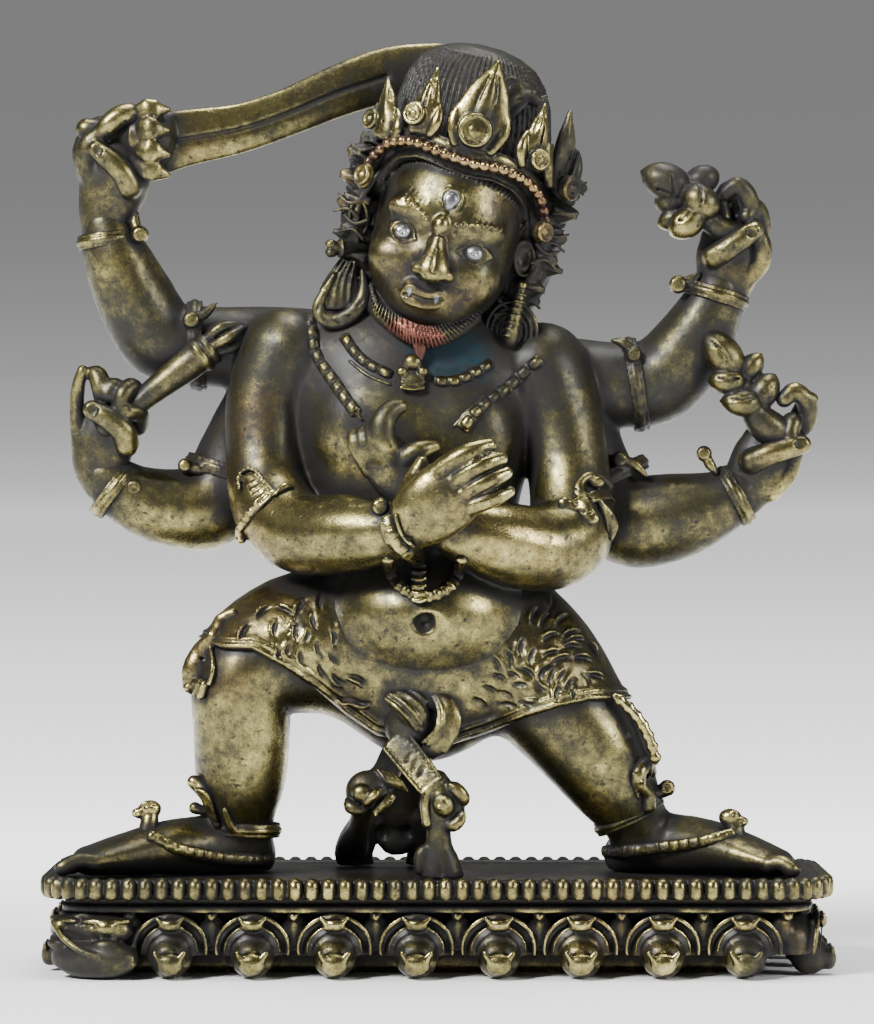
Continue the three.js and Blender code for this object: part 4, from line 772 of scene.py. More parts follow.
def beard(clay):
    """Fine strokes under the jaw, with a lock at the chin."""
    inner, outer = along(BEARD_INNER, BEARD_STROKES), along(BEARD_OUTER, BEARD_STROKES)
    core = [((p[0] + q[0]) / 2, beard_depth(p[0]) + 2.3, (p[1] + q[1]) / 2, 2, 1.6)
            for p, q in list(zip(inner, outer))[1:-1:4]]
    clay.add(head_tube(core), 0.6)
    for p, q in zip(inner, outer):
        deep = beard_depth(p[0]) - 0.35
        middle = ((p[0] + q[0]) / 2, deep - 0.15, (p[1] + q[1]) / 2)
        clay.add(head_tube([(p[0], deep + 0.1, p[1], 0.22), (*middle, 0.32),
                (q[0], deep + 0.6, q[1], 0.16)], fine=1), 0.04)
    clay.add(head_tube([(0.8, -10.4, -21.6, 1.5, 1), (1.2, -10.6, -23.4, 1.2, 0.9),
            (1.6, -10.8, -25.6, 0.4)]), 0.5)
    for shift in (-0.6, 0.1, 0.8):
        clay.cut(head_tube([(0.9 + shift, -11.6, -21.2, 0.2), (1.5 + shift * 0.4, -11.4, -25, 0.15)]), 0.1)


def face_clay():
    clay = Clay((-22, -27, 118), (24, 14, 168), STEPS["face"])
    clay.add(head_ball((0.3, 0.5, 0.2), (14.4, 15, 16.6)))
    clay.add(head_ball((0.3, 0.5, 5), (14.6, 15.2, 15.5)), 1)
    clay.add(head_ball((0, -2.4, -7), (13, 11, 10.4)), 4)
    clay.add(head_ball((0.4, -7.4, -13.4), (7.6, 6.2, 5.2)), 4)
    clay.add(head_tube([(0, 6, -12, 9), (-1.6, 7, -24, 9)]), 3)
    for place, wide, tilt in zip(EYES, (2.9, 3.4), (-16, 3)):
        eye_in_socket(clay, place, wide, tilt)
    for feature in (brows, third_eye, nose, mouth, beard):
        feature(clay)
    # short hair combed up from the forehead
    for x, z in along(HAIRLINE, COMBED_STROKES):
        comb = [(x, z - 0.3, 0.2), (x * 1.02, z + 0.9, 0.36), (x * 1.05, z + 2.2, 0.36)]
        clay.add(face_line(clay, comb, 0.25), 0.03)
    return clay


# Crown

CROWN_WIDE, CROWN_DEEP = 18.8, 17.0
# How high the crown's band runs, by the angle from the brow
CROWN_LINE = [(-100, 6), (-82, 8.5), (-68, 12), (-54, 15.4), (-34, 16.8), (-13, 15.9), (5, 15.4),
              (23, 15.9), (42, 15), (60, 12.4), (72, 9), (90, 5), (110, 3)]
# The crown's bands: outwards, lift, half thickness and half height
CROWN_BANDS = [(-1.3, 1.7, 1, 1.3), (-3.5, -1.5, 1.1, 1.3), (-0.9, 1.2, 0.45, 0.4), (-1.2, 2.8, 0.5, 0.4),
               (-2.6, -2.5, 0.34, 0.3)]
CROWN_BEADS = 31
# The crown's leaves: foot and tip (across, up), half width, and jewel (across, up, radius)
LEAVES = [
    ((-16.4, 17), (-19, 27.4), 2.4, (-19.6, 18.9, 2)), ((-9.8, 19.6), (-10, 32), 2.5, (-11.8, 22.2, 2.3)),
    ((0.8, 19.4), (1.4, 36.6), 5.2, (0.4, 22, 3.5)), ((12.8, 18.6), (12.6, 30.6), 2.5, (14, 19.8, 2.1)),
    ((19.6, 16.2), (17.8, 30.6), 3.1, (21.2, 15.8, 2.6)),
]


def on_crown(degrees, out=0.0, lift=0.0):
    """A point of the crown's band at an angle from the brow."""
    a = math.radians(degrees)
    up = np.interp(degrees, *np.array(CROWN_LINE).T)
    return ((CROWN_WIDE + out) * math.sin(a), 1 - (CROWN_DEEP + out) * math.cos(a), up + lift)


def crown_beads():
    last = CROWN_BEADS - 1
    return [head_ball(on_crown(-93 + 186 * k / last, 0.3, 0.1), (1.1, 1.06, 1.14))
            for k in range(CROWN_BEADS)]


def jewel(clay, place, radius, squash=1.0):
    """A round setting: a low disc in a broad raised ring, facing out of the head."""
    turn = math.asin(max(-0.8, min(0.8, place[0] / 26)))
    axis = HEAD_TURN @ np.array([math.sin(turn), -math.cos(turn), 0])
    clay.add(head_ball(place, (radius, 1.5, radius / squash), np.array(Matrix.Rotation(turn, 3, "Z"))), 0.3)
    middle = np.array(on_head([place])[0])
    clay.add(ring(middle + axis * 1, axis, radius * 0.84, 0.42, 0.6), 0.1)
    clay.add(ball(middle + axis * 0.6, (radius * 0.62, 0.9, radius * 0.62)), 0.05)
    clay.cut(ring(middle + axis * 1.4, axis, radius * 0.36, 0.2), 0.1)


def crown_leaf(clay, foot, tip, wide, gem):
    """A pointed leaf with a ridge down its middle, smaller leaves at its foot and a jewel."""
    def at(share, out, side=0.0):
        x = foot[0] + (tip[0] - foot[0]) * share + side
        z = foot[1] + (tip[1] - foot[1]) * share
        return (x, 1.6 - 17.2 * math.sqrt(max(0.1, 1 - (min(abs(x), 19.4) / 20.4) ** 2)) - out, z)

    outward = (math.sin(foot[0] / 22), -math.cos(foot[0] / 22), 0.05)
    clay.add(head_tube([(*at(0, -1), wide * 0.9, 1.6), (*at(0.3, -0.6), wide * 1.06, 1.6),
            (*at(0.62, -0.8), wide * 0.8, 1.4), (*at(0.86, -1.2), wide * 0.36, 0.8),
            (*at(1, -1.6), 0.4, 0.5)], outward), 0.2)
    clay.add(head_tube([(*at(0.36, 0.4), wide * 0.3, 0.9), (*at(0.66, 0.2), wide * 0.24, 0.9),
            (*at(0.97, -1.2), 0.35)], outward), 0.5)
    for side in (-1, 1):
        clay.add(head_tube([(*at(-0.04, -0.2, side * wide * 0.7), 1, 1),
                (*at(0.16, 0.1, side * wide * 0.95), 1.3, 1.1),
                (*at(0.34, -0.2, side * wide * 0.98), 0.9, 0.9),
                (*at(0.5, -0.8, side * wide * 0.84), 0.35, 0.4)], outward), 0.12)
        clay.cut(head_tube([(*at(0.2, 1.3, side * wide * 0.3), 0.25),
                (*at(0.5, 0.9, side * wide * 0.34), 0.3), (*at(0.84, -0.2, side * wide * 0.12), 0.2)]), 0.2)
    x, z, radius = gem
    y = 1 - 17.4 * math.sqrt(max(0.1, 1 - (min(abs(x), 19.6) / 20.8) ** 2))
    jewel(clay, (x, y - 0.3, z), radius)


def crown_clay():
    clay = Clay((-28, -28, 136), (38, 14, 188), STEPS["crown"])
    for out, lift, thick, tall in CROWN_BANDS:
        band = [(*on_crown(angle, out, lift), thick, tall) for angle in range(-98, 104, 6)]
        clay.add(head_tube(band, (0, 0, 1), 1), 0.15)
    clay.add_all(crown_beads(), 0.05)
    for leaf in LEAVES:
        crown_leaf(clay, *leaf)
    jewel(clay, (-18.4, -7.6, 7.6), 2, 0.74)
    jewel(clay, (18.5, -7.4, 6), 2, 0.9)
    return clay


# Hair

# The dome of hair: up, half width, half depth and middle
DOME = [(6, 16.4, 13.4, 0), (16, 16.6, 13, 0), (24, 16.2, 12, -0.4), (30, 15, 10.8, -0.9),
        (34, 13, 9.4, -1.2), (36.6, 10.4, 7.6, -1.2), (38.2, 6.6, 5.2, -1), (39, 2.4, 2, -1)]
# The corners of the dome's block, in millimetres
DOME_BOX = (np.array((-24.0, -16.0, 150.0)), np.array((34.0, 24.0, 187.5)))
STRANDS = 72
# The outline of the hair beside the face, at the right and at the left
SIDE_HAIR = {
    -1: [(-21, 15), (-22.2, 10), (-21.6, 4), (-20.6, -2), (-19, -8), (-16.4, -13)],
    1: [(22, 19), (24, 15.5), (23.2, 10), (22.4, 5), (23, 0), (21.4, -6), (18, -11)],
}
SIDE_CURLS = 17
LOCKS = 26
# How a lock falls: up, outwards and half thickness
LOCK_FALL = [(15, 16.5, 0.7), (9, 20, 0.8), (2, 21.2, 0.85), (-6, 20.2, 0.85), (-12, 17.4, 0.8),
             (-17, 13.6, 0.6)]


def dome_distance(x, y, z):
    a, d, up = head_local(x, y, z)
    ups, wides, deeps, middles = np.array(DOME).T
    wide, deep = np.interp(up, ups, wides), np.interp(up, ups, deeps)
    across, back = (a - np.interp(up, ups, middles)) / wide, (d - 5.4) / deep
    turn = np.arctan2(across, -back)
    out = np.sqrt(across**2 + back**2)
    ridge = 1 - np.abs(np.sin(turn * STRANDS / 2 + 0.05 * up))
    engraved = 0.6 * ridge * np.clip(out * 4 - 0.8, 0, 1) * np.clip((ups[-1] - up) / 3, 0.1, 1)
    side = (out - 1) * np.minimum(wide, deep) * 0.85 + engraved
    return np.maximum(np.maximum(side, (up - ups[-1]) * 0.9 + engraved), ups[0] - up)


def lock(clay, k):
    """A wavy lock down the back, in three strands."""
    a = math.radians(-116 + 232 * k / (LOCKS - 1))
    for strand in (-1, 0, 1):
        run = []
        for up, out, thick in LOCK_FALL:
            sway = math.radians(4 * math.sin(up * 0.5 + k * 1.7) + strand * 2.8)
            run.append((1 + out * math.sin(a + sway), 5 + (out - 7) * math.cos(a + sway), up, thick))
        clay.add(head_tube(run), 0.2)
    tip = run[-1]
    clay.add(head_ball((tip[0] * 1.02, tip[1] + 0.6, tip[2] - 0.8), (1.6, 1.6, 1.4)), 0.3)


def side_curl(clay, side, k, across, up):
    """A rough curl standing out beside the face, with its own twist."""
    across, deep = across + side * 1.1 * math.sin(k * 4.1), 0.5 + 1.8 * math.sin(k * 2.3)
    clay.add(head_tube([(across - side * 5, deep + 2, up - 1, 2.4),
            (across - side * 2.4, deep + 0.6, up, 1.9),
            (across - side * 0.4, deep, up + 0.5 * math.sin(k * 1.7), 0.9)]), 0.3)
    for twist in (-1, 1):
        lean = twist * (0.7 + 0.5 * math.sin(k * 3.3))
        tip = across + side * (0.2 + 0.5 * math.sin(k * 1.9))
        clay.add(head_tube([(across - side * 4.6, deep - 1.6, up + lean * 1.6, 0.5),
                (across - side * 2.2, deep - 1.5, up + lean * 0.5, 0.4),
                (tip, deep - 0.4, up + lean * 1.5, 0.3)]), 0.15)


def creature(clay):
    """A small creature's head in the hair, with a round eye and a curling snout."""
    clay.add(head_tube([(4, -5.6, 27, 3.2), (6, -6.6, 30.6, 3.1), (8.4, -6.6, 31.8, 2), (11, -6, 30.8, 1.2),
            (12.4, -5.8, 32.2, 0.5)]), 0.5)
    eye = np.array(on_head([(5.2, -9, 32.4)])[0])
    for radius, thick in ((1.7, 0.4), (0.9, 0.3)):
        clay.add(ring(eye, (0.1, -1, 0.1), radius, thick), 0.12)
    clay.add(ball(eye, 0.5), 0.1)
    clay.cut(head_tube([(6.8, -9.6, 30, 0.4), (9.4, -8.8, 30.6, 0.5), (11.6, -7.4, 30, 0.3)]), 0.2)
    for k in range(3):
        clay.add(head_tube([(7 + k * 1.3, -8.9 + 0.3 * k, 31.6, 0.35),
                (7.4 + k * 1.3, -8.6 + 0.3 * k, 33.4 - k * 0.4, 0.25)]), 0.12)


def hair_clay():
    clay = Clay((-28, -16, 126), (36, 26, 188), STEPS["hair"])
    clay.add([(*DOME_BOX, dome_distance)], 0.4)
    clay.add(head_ball((1.2, 7, -2), (18.6, 12, 18)), 2)
    clay.add(head_ball((1.2, 4.6, 9), (21, 11, 8)), 2)
    for k in range(LOCKS):
        lock(clay, k)
    for side, edge in SIDE_HAIR.items():
        for k, (across, up) in enumerate(along(edge, SIDE_CURLS)):
            side_curl(clay, side, k, across, up)
    creature(clay)
    return clay


# Ears

# The ribbon's hook under the right ear: place and half width
HOOK = [(-20.6, -6.2, 138.2, 0.6), (-22.6, -6.6, 134.8, 0.9), (-23.7, -6.8, 131.8, 1.3),
        (-22.6, -7.1, 129.6, 1.5),
        (-20, -7.4, 129.1, 1.6), (-17.2, -7.6, 130.4, 1.6), (-15.2, -7.4, 132.8, 1.5),
        (-14.6, -7, 135.6, 1.1), (-14.9, -6.4, 139, 0.6)]


def loop(centre, half, thick, depth, start=0.0, end=2 * math.pi, count=13):
    """An upright oval outline (x, z) at a depth, from one angle past its bottom to another."""
    return [(centre[0] - half[0] * math.sin(t), depth, centre[1] - half[1] * math.cos(t), thick)
            for t in np.linspace(start, end, count)]


def right_ear(clay):
    """A long lobe with a raised edge, a plug through it, and a ribbon curled up to the jaw."""
    clay.add(ball(seen(-16.4, -2.2, 149.4), (2.9, 2.4, 5.4)), 0.3)
    clay.cut(ball(seen(-15.8, -5.6, 149.4), (1.3, 1.3, 3.2)), 0.4)
    clay.add(rod(loop((-15.7, 149.6), (1.8, 3.7), 0.42, -4.7, 0.7, 5.6)), 0.2)
    clay.add(rod([(-14.6, -3, 143.6, 1.4), (-18, -5.4, 143.7, 1.45), (-20.4, -6.8, 143.6, 1.4)]), 0.3)
    for rise in (-0.85, 0.85):
        clay.add(ball(seen(-21.2, -7.4, 143.6 + rise), (1.25, 1.3, 1.0)), 0.15)
    clay.add(ring(seen(-19.4, -6.2, 143.6), (-1, -0.5, 0), 1.6, 0.35), 0.12)
    clay.add(rod([(-17, -4.6, 142, 1.6, 0.9), (-18.4, -5.4, 138.6, 2.8, 1), (-19.4, -5.8, 134.6, 4.2, 1),
                  (-19.4, -6, 132, 4.2, 1)]), 0.3)
    clay.add(rod([(*s, 1.0) for s in HOOK]), 0.15)
    for share in (0.1, 0.24, 0.38, 0.5, 0.62, 0.76):
        at = spline([s[:3] for s in HOOK], 8)[int(share * 64)]
        clay.cut(ball(seen(at[0], at[1] - 1.1, at[2]), (0.22, 0.5, 1.4), turned_about_y(90 - 300 * share)),
                 0.1)
    for line in (((-18.6, 141.4), (-21.2, 137), (-22.2, 132.6)),
                 ((-17.9, 141), (-19.9, 137), (-20.6, 131.6)),
                 ((-17.2, 141), (-18.6, 137), (-19, 132)), ((-16.4, 141), (-17.2, 137), (-17.6, 132.6))):
        clay.add(rod([(x, -6.4 - 0.04 * (142 - z), z, 0.3) for x, z in line]), 0.12)


def left_ear(clay):
    """A lobe and a ridged drop before a coil in rings."""
    clay.add(ball(seen(17.2, -3.4, 142), (2.4, 2.2, 4.2)), 0.3)
    clay.cut(ball(seen(17.4, -6, 141.6), (1.3, 1.2, 2.6)), 0.3)
    clay.add(rod(loop((17.4, 141.6), (2, 3.5), 0.4, -5.2)), 0.2)
    clay.add(ball(seen(17.1, -6.8, 136.2), (1, 1, 0.9)), 0.2)
    clay.add(rod([(16.8, -6.2, 135.4, 1), (16, -6.6, 132, 1.2), (15.2, -6.8, 128, 1.5),
                  (14.9, -6.8, 125.6, 1.4), (14.7, -6.4, 124.4, 0.9)]), 0.3)
    for z, r in ((134.4, 1.1), (133, 1.2), (131.6, 1.3), (130.2, 1.4), (128.8, 1.55), (127.4, 1.6),
                 (126, 1.5)):
        clay.add(ring(seen(15.2 + (z - 128.6) * 0.25, -6.7, z), (0.2, 0, 1), r, 0.26), 0.12)
    clay.add(ball(seen(14.9, -3.8, 127), (5.2, 1.8, 6.2)), 0.4)
    for half in (5.1, 4, 2.9):
        clay.add(rod(loop((14.9, 126.9), (half, half * 1.18), 0.42, -5.6 + (5 - half) * 0.1)), 0.12)


def ears_clay():
    clay = Clay((-30, -20, 118), (28, 8, 158), STEPS["ears"])
    right_ear(clay)
    left_ear(clay)
    return clay


# Sword, thunderbolt handle and sprays of buds

BLADE = [
    (-55, 3, 164.7, 6.2, 1.7), (-50, 4, 165.8, 5.7, 1.6), (-40, 6, 167.5, 5, 1.6),
    (-30, 8, 170.8, 4.8, 1.6),
    (-20, 10, 175, 5.2, 1.6), (-10, 12, 178.3, 5.6, 1.6), (0, 13, 179.4, 5.4, 1.5),
    (9, 13, 180.6, 3.6, 1.3),
]


def sword_clay():
    clay = Clay((-76, -6, 150), (14, 18, 190), STEPS["sword"])
    clay.add(rod(BLADE, fine=4))
    # a groove along its middle and a thick back edge
    clay.cut(rod([(x, y - 1.5, z - w * 0.05, 0.45) for x, y, z, w, t in BLADE[:-2]]), 0.5)
    clay.add(rod([(x, y, z + w * 0.8, 0.8, 0.9) for x, y, z, w, t in BLADE[:-1]]), 0.5)
    clay.add(rod([(-70, 4, 167.4, 2.3), (-56, 3, 165, 2.6)]), 0.3)
    # the guard: a cup of lotus petals opening towards the blade
    clay.add(rod([(-61.6, 3, 166, 3, 3), (-59, 3, 165.6, 5.4, 4.2), (-56, 3, 165, 6, 4)]), 0.5)
    for rise, out in ((-6.6, -1.6), (-2.4, -2.6), (2.4, -2.6), (6.6, -1.6)):
        clay.add(rod([(-61, 2, 166 + rise * 0.4, 1.6, 1.2), (-57.6, out + 1, 165.4 + rise * 0.86, 2.6, 1.3),
                      (-53.8, out + 2, 164.8 + rise, 0.6, 0.6)]), 0.3)
    clay.add(ring(seen(-61, 3, 166), (1, 0, -0.1), 3.4, 0.7), 0.3)
    return clay


def bolt_clay():
    clay = Clay((-70, -8, 104), (-34, 10, 132), STEPS["thunderbolt"])
    clay.add(rod([(-66, 1, 108, 2.4), (-60, 1, 112.5, 2.4), (-55, 1, 116.4, 2.8), (-50, 1, 120.2, 3.3),
                  (-47.6, 1, 122.2, 3.4)]), 0.3)
    axis = (0.78, 0, 0.62)
    for at, radius in (((-47.2, 1, 122.4), 3), ((-45.6, 1, 123.6), 2.6)):
        clay.add(ring(seen(*at), axis, radius, 0.9), 0.3)
    clay.add(ball(seen(-46.2, 1, 123.2), 2.8), 0.3)
    for k in range(6):
        a = 2 * math.pi * k / 6 + 0.4
        side, front = math.cos(a), math.sin(a)
        rib = [(-45.4 - side * 1.1, 1 + front * 1.8, 124 + side * 1.4, 0.9),
               (-42 - side * 1.7, 1 + front * 2.7, 126 + side * 2.1, 1.15),
               (-39.4 - side * 0.9, 1 + front * 1.4, 127.4 + side * 1.1, 0.8), (-38.2, 1, 127.8, 0.5)]
        clay.add(rod(rib), 0.15)
    clay.add(ball(seen(-42.4, 1, 126), (2.4, 2, 2)), 0.3)
    return clay


# How a bud swells: share of its length, share of its radius
BUD = ((0.1, 0.6), (0.3, 0.95), (0.55, 0.95), (0.78, 0.62), (0.93, 0.3), (1.06, 0.08))


def bud(start, way, length, radius):
    """A pointed bud from a place, along a direction of the front view."""
    x, y, z = start
    dx, dz = unit(way)
    return rod([(x + dx * length * t, y, z + dz * length * t, radius * size) for t, size in BUD])


def spray(low, high, buds, stem, creases):
    """A spray of buds on a stem, with creases cut in as the front view sees them."""
    clay = Clay(low, high, STEPS["sprays"])
    clay.add_all((bud(*s) for s in buds), 0.08)
    clay.add(rod(stem), 0.3)
    for crease in creases:
        clay.cut(tube(laid([clay], [(*s, r) for s, r in zip(crease, (0.16, 0.34, 0.2))])), 0.15)
    return clay


def sprays_clay():
    upper = spray((36, -10, 140), (66, 10, 164), [
        ((49.6, 0, 155.4), (-1, 0.42), 9, 3.8), ((50, 1, 154.4), (-1, -0.34), 6.4, 3),
        ((50.8, 0.5, 156.4), (0.7, 0.3), 5.4, 3), ((50.6, -2, 154.4), (0.9, -0.6), 6, 3.4),
        ((50, 1, 150.6), (-1, -0.4), 6, 2.5), ((52.4, -2, 150.4), (-1, -0.7), 6.6, 3.1),
    ], [(61, 2, 145.6, 2.8), (57, 1, 147.4, 2.6), (53.6, 0, 149.8, 2.1), (50, 0, 153, 1.8)], [
        [(41, 157.6), (45, 155), (49, 153.6)], [(46.6, 159), (47.4, 156), (47, 153)],
        [(51.6, 157.6), (53, 154.8), (52.6, 151.6)], [(46.4, 149), (49, 149.4), (51, 151)],
    ])
    lower = spray((48, -10, 98), (78, 10, 131), [
        ((59.6, 0, 119), (-0.6, 0.78), 9.4, 3.9), ((60.8, -1.4, 117), (-1, 0.02), 6.2, 2.7),
        ((61, 1, 117.6), (0.62, 0.78), 6, 2.5), ((64, -1.6, 112.4), (-1, 0.1), 7, 2.9),
        ((63.6, 0.6, 112.4), (0.55, 0.83), 6.8, 3.1),
    ], [(71, 2, 105, 3), (66.6, 1, 107.6, 3.6), (63.6, 0, 110.6, 2.8), (61, 0, 116.4, 1.9)], [
        [(54.6, 125.6), (57.6, 122.4), (58.8, 119)], [(56, 117.8), (59, 117.4), (62, 118)],
        [(58.4, 113.4), (62, 113.6), (65.4, 115)],
    ])
    return [upper, lower]


# Skirt: a pelt round the hips with a raised double hem and fur chased into it

HEM = [
    (-52, 65.6), (-48, 65.5), (-43, 63.6), (-37, 63.4), (-30, 59.4), (-24, 55.2), (-18, 50.2), (-12, 46.2),
    (-4, 44.6), (3, 44.4), (10, 46.6), (18, 49.8), (25, 52), (31, 53.2), (40, 53.4), (46, 53.4),
]
SKIRT_TOP = 79
# Strokes of fur in the front view: middle (x, z), the way it runs in degrees, and its bend
FUR = [(-30.8, 70.9, -20, 1), (-32, 67.6, 80, 1), (-29.2, 68.2, 60, -1), (-34.8, 63.9, 85, 1),
       (-32.2, 62.8, 80, -1), (-29.4, 63.2, 75, 1), (-26.4, 66.2, 70, -1), (-24.4, 69.2, 100, 1),
       (-27.8, 66.8, 80, 1), (-23.4, 63.5, 110, 1), (-21, 65.9, 100, -1), (-20.6, 61.9, 130, 1),
       (-22.8, 59.2, 120, 1), (-26.8, 61.9, 100, 1), (-27.8, 59.2, 95, -1), (-18.6, 53.9, 160, 1),
       (-15.2, 53.2, 165, 1), (-38.2, 66.8, 60, 1), (-19.6, 57.6, 140, 1), (-16, 57.2, 150, -1),
       (19.8, 70.2, 70, 1), (21.8, 69.2, 60, 1), (25.4, 69.2, 40, 1), (22.8, 65.6, 20, 1),
       (27.2, 66.2, 15, 1), (27.8, 64.9, 10, 1), (17.2, 63.9, 80, 1), (19.2, 61.9, 75, 1),
       (22.8, 62.2, 15, 1), (27.2, 63.6, 0, 1), (22.4, 60.6, 40, -1), (25.2, 61.2, 10, 1),
       (29.2, 61.2, -10, 1), (31.8, 57.6, -15, 1), (12.4, 57.6, -20, 1), (15.2, 57.9, -25, 1),
       (17.8, 58.6, -30, 1), (10.4, 55.2, -25, 1), (13.4, 54.2, -15, 1), (16.8, 55.9, -10, 1),
       (18.4, 52.9, -5, -1), (14.4, 51.9, -10, 1), (20.8, 56.2, -40, -1), (23.2, 57.9, 70, 1),
       (25.2, 57.9, 50, 1), (24.4, 54.6, 80, 1), (27.8, 54.6, 100, 1), (26.8, 56.2, 60, 1),
       (21.4, 58.6, 60, 1), (29.6, 57.4, 120, -1), (11.6, 60.4, -60, 1), (14.2, 61.6, -70, 1),
       (25.8, 71.4, 60, 1), (22.6, 72.6, 70, -1), (-18.4, 68.4, 100, 1), (-34.6, 70.6, 40, 1),
       (-27, 71.8, 60, 1), (-23, 73.2, 80, 1), (30.6, 63.4, -60, 1), (8.4, 52.6, -35, 1)]
STROKE_LENGTH = 3.6
GROOVE_SIZES, RIDGE_SIZES = (0.13, 0.4, 0.38, 0.12), (0.12, 0.36, 0.36, 0.12)


def above_hem(x, y, z):
    """Height over the hem, square to it, in the front view."""
    near = 1 + y / VIEW_DISTANCE
    across, up = x / near, VIEW_HEIGHT + (z - VIEW_HEIGHT) / near
    xs, zs = np.array(HEM).T
    slope = np.interp(across, (xs[1:] + xs[:-1]) / 2, np.diff(zs) / np.diff(xs))
    return (up - np.interp(across, xs, zs)) / np.sqrt(1 + slope * slope)


def fur_back():
    """Strokes in rows over the back of the skirt, flowing outwards from its middle."""
    made = []
    for row in range(9):
        for k in range(19):
            x = -43 + 4.6 * k + (2.3 if row % 2 else 0) + 0.9 * math.sin(7.3 * k + 3.1 * row)
            z = 76 - 3.4 * row + 0.8 * math.sin(5.1 * k + row)
            made.append((x, z, 90 - 1.6 * x + 14 * math.sin(2.3 * k + 4 * row), 1 if k % 2 else -1))
    return [s for s in made if above_hem(s[0], 12.0, s[1]) > 3.2]


def curl(x, z, way, bend):
    """The stations (x, z) of a small bent stroke."""
    a = math.radians(way)
    run = []
    for t in (-0.5, -0.18, 0.18, 0.5):
        u, v = STROKE_LENGTH * t, bend * (0.25 - t * t) * 2.2
        run.append((x + u * math.cos(a) - v * math.sin(a), z + u * math.sin(a) + v * math.cos(a)))
    return run


def chase(clay, stroke, behind):
    """Cuts one stroke of fur, and raises a ridge beside it."""
    run = curl(*stroke)
    if None in met([clay], run, behind):
        return
    on = laid([clay], run, behind=behind)
    clay.cut(tube([(*p[:3], r) for p, r in zip(on, GROOVE_SIZES)], fine=2), 0.2)
    a = math.radians(stroke[2])
    side = (math.sin(a) * -0.8, 0, math.cos(a) * 0.8)
    rise = (0, 0.1 if behind else -0.1, 0)
    clay.add(tube([(*(np.array(p[:3]) + side + rise), r) for p, r in zip(on, RIDGE_SIZES)], fine=2), 0.3)


def skirt_clay():
    clay = Clay((-56, -28, 40), (48, 22, 82), STEPS["skirt"])
    for stations in LEGS.values():
        clay.add(rod(stations[:5], fine=4), 4)
    clay.add(rod(TRUNK[:4], fine=4), 4)
    clay.add(ball(seen(-2.5, 0, 59), (19, 14.5, 16)), 4)
    # the cloth stands off the legs, with two raised lines along its hem
    x, y, z = clay.grid(np.zeros(3, int), clay.count)
    over = above_hem(x, y, z)
    clay.field -= 0.9 + 0.75 * bump(over, 0.75, 0.5) + 0.6 * bump(over, 2.1, 0.45)
    clay.field = np.maximum(clay.field, -np.minimum(over, SKIRT_TOP - z)).astype(np.float32)
    for behind, strokes in ((False, FUR), (True, fur_back())):
        for stroke in strokes:
            chase(clay, stroke, behind)
    return clay


# Jewellery's parts

def walked(run):
    """A fine line through stations, and how far along it each of its points lies."""
    fine = spline([s[:3] for s in run], 12)
    return fine, np.concatenate([[0], np.cumsum(np.linalg.norm(np.diff(fine, axis=0), axis=1))])


def cord(run, pitch, radius, flat=0.85, gap=0.3):
    """A cord of short links along stations already laid in place."""
    fine, steps = walked(run)
    count = max(2, int(round(steps[-1] / pitch)))
    cap = radius * min(1, flat)
    half = max(0.05, (steps[-1] / count - gap) / 2 - cap)
    made = []
    for k in range(count):
        middle = steps[-1] * (k + 0.5) / count
        ends = [[np.interp(middle + t, steps, fine[:, i]) for i in range(3)] for t in (-half, half)]
        made.append(tube([(*end, radius, radius * flat) for end in ends], fine=1))
    return made


def strap(clay, run, half, pitch=2.2):
    """A flat strap over stations already laid in place, with a groove across it at each pitch."""
    clay.add(tube([(*s[:3], half, 0.9) for s in run], (0, 1, 0)), 0.1)
    fine, steps = walked(run)
    for at in np.arange(pitch, steps[-1], pitch):
        spot, ahead = ([np.interp(at + t, steps, fine[:, i]) for i in range(3)] for t in (0, 0.3))
        side = unit(np.cross(np.array(ahead) - spot, (0, 1, 0))) * half * 1.2
        middle = np.array(spot) - (0, 1, 0)
        ends = [(*(middle + way * side + (0, 0.5, 0)), 0.22) for way in (-1, 1)]
        clay.cut(tube([ends[0], (*middle, 0.26), ends[1]], fine=1), 0.08)


def band_studs(clay, centre, axis, radius, tall, count):
    """Small raised plates round a band."""
    side = unit(np.cross(axis, (0.2, 1, 0.1)))
    up = np.cross(side, axis)
    for k in range(count):
        a = 2 * math.pi * k / count
        spots = [centre + (side * math.cos(t) + up * math.sin(t)) * radius for t in (a - 0.11, a + 0.11)]
        clay.add(tube([(*p, 0.5, tall) for p in spots], axis, fine=1), 0.15)


def bracelet(clay, at, along, radius, tall, studs=0):
    """A flat band round a limb with a fine cord at each edge and raised plates between them."""
    centre, axis = seen(*at), unit(along)
    clay.add(ring(centre, axis, radius, 0.55, tall), 0.1)
    for side in (-1, 1):
        clay.add(ring(centre + axis * side * tall, axis, radius + 0.25, 0.36), 0.08)
    band_studs(clay, centre, axis, radius + 0.45, tall * 0.6, studs)


def knob(clay, spot, radius, leaf):
    """A ringed knob facing the viewer, and a small leaf beside it."""
    x, y, z = spot
    clay.add(ball(seen(x, y, z), (radius, radius * 0.9, radius)), 0.2)
    clay.add(ring(seen(x, y - radius * 0.7, z), (0, 1, 0), radius * 0.62, 0.3), 0.08)
    clay.cut(ball(seen(x, y - radius * 1.1, z), radius * 0.34), 0.1)
    clay.add(rod([(x, y + 0.4, z, 0.9), (*leaf[0], 1.1), (*leaf[1], 0.4)]), 0.15)


# Pelt's ends

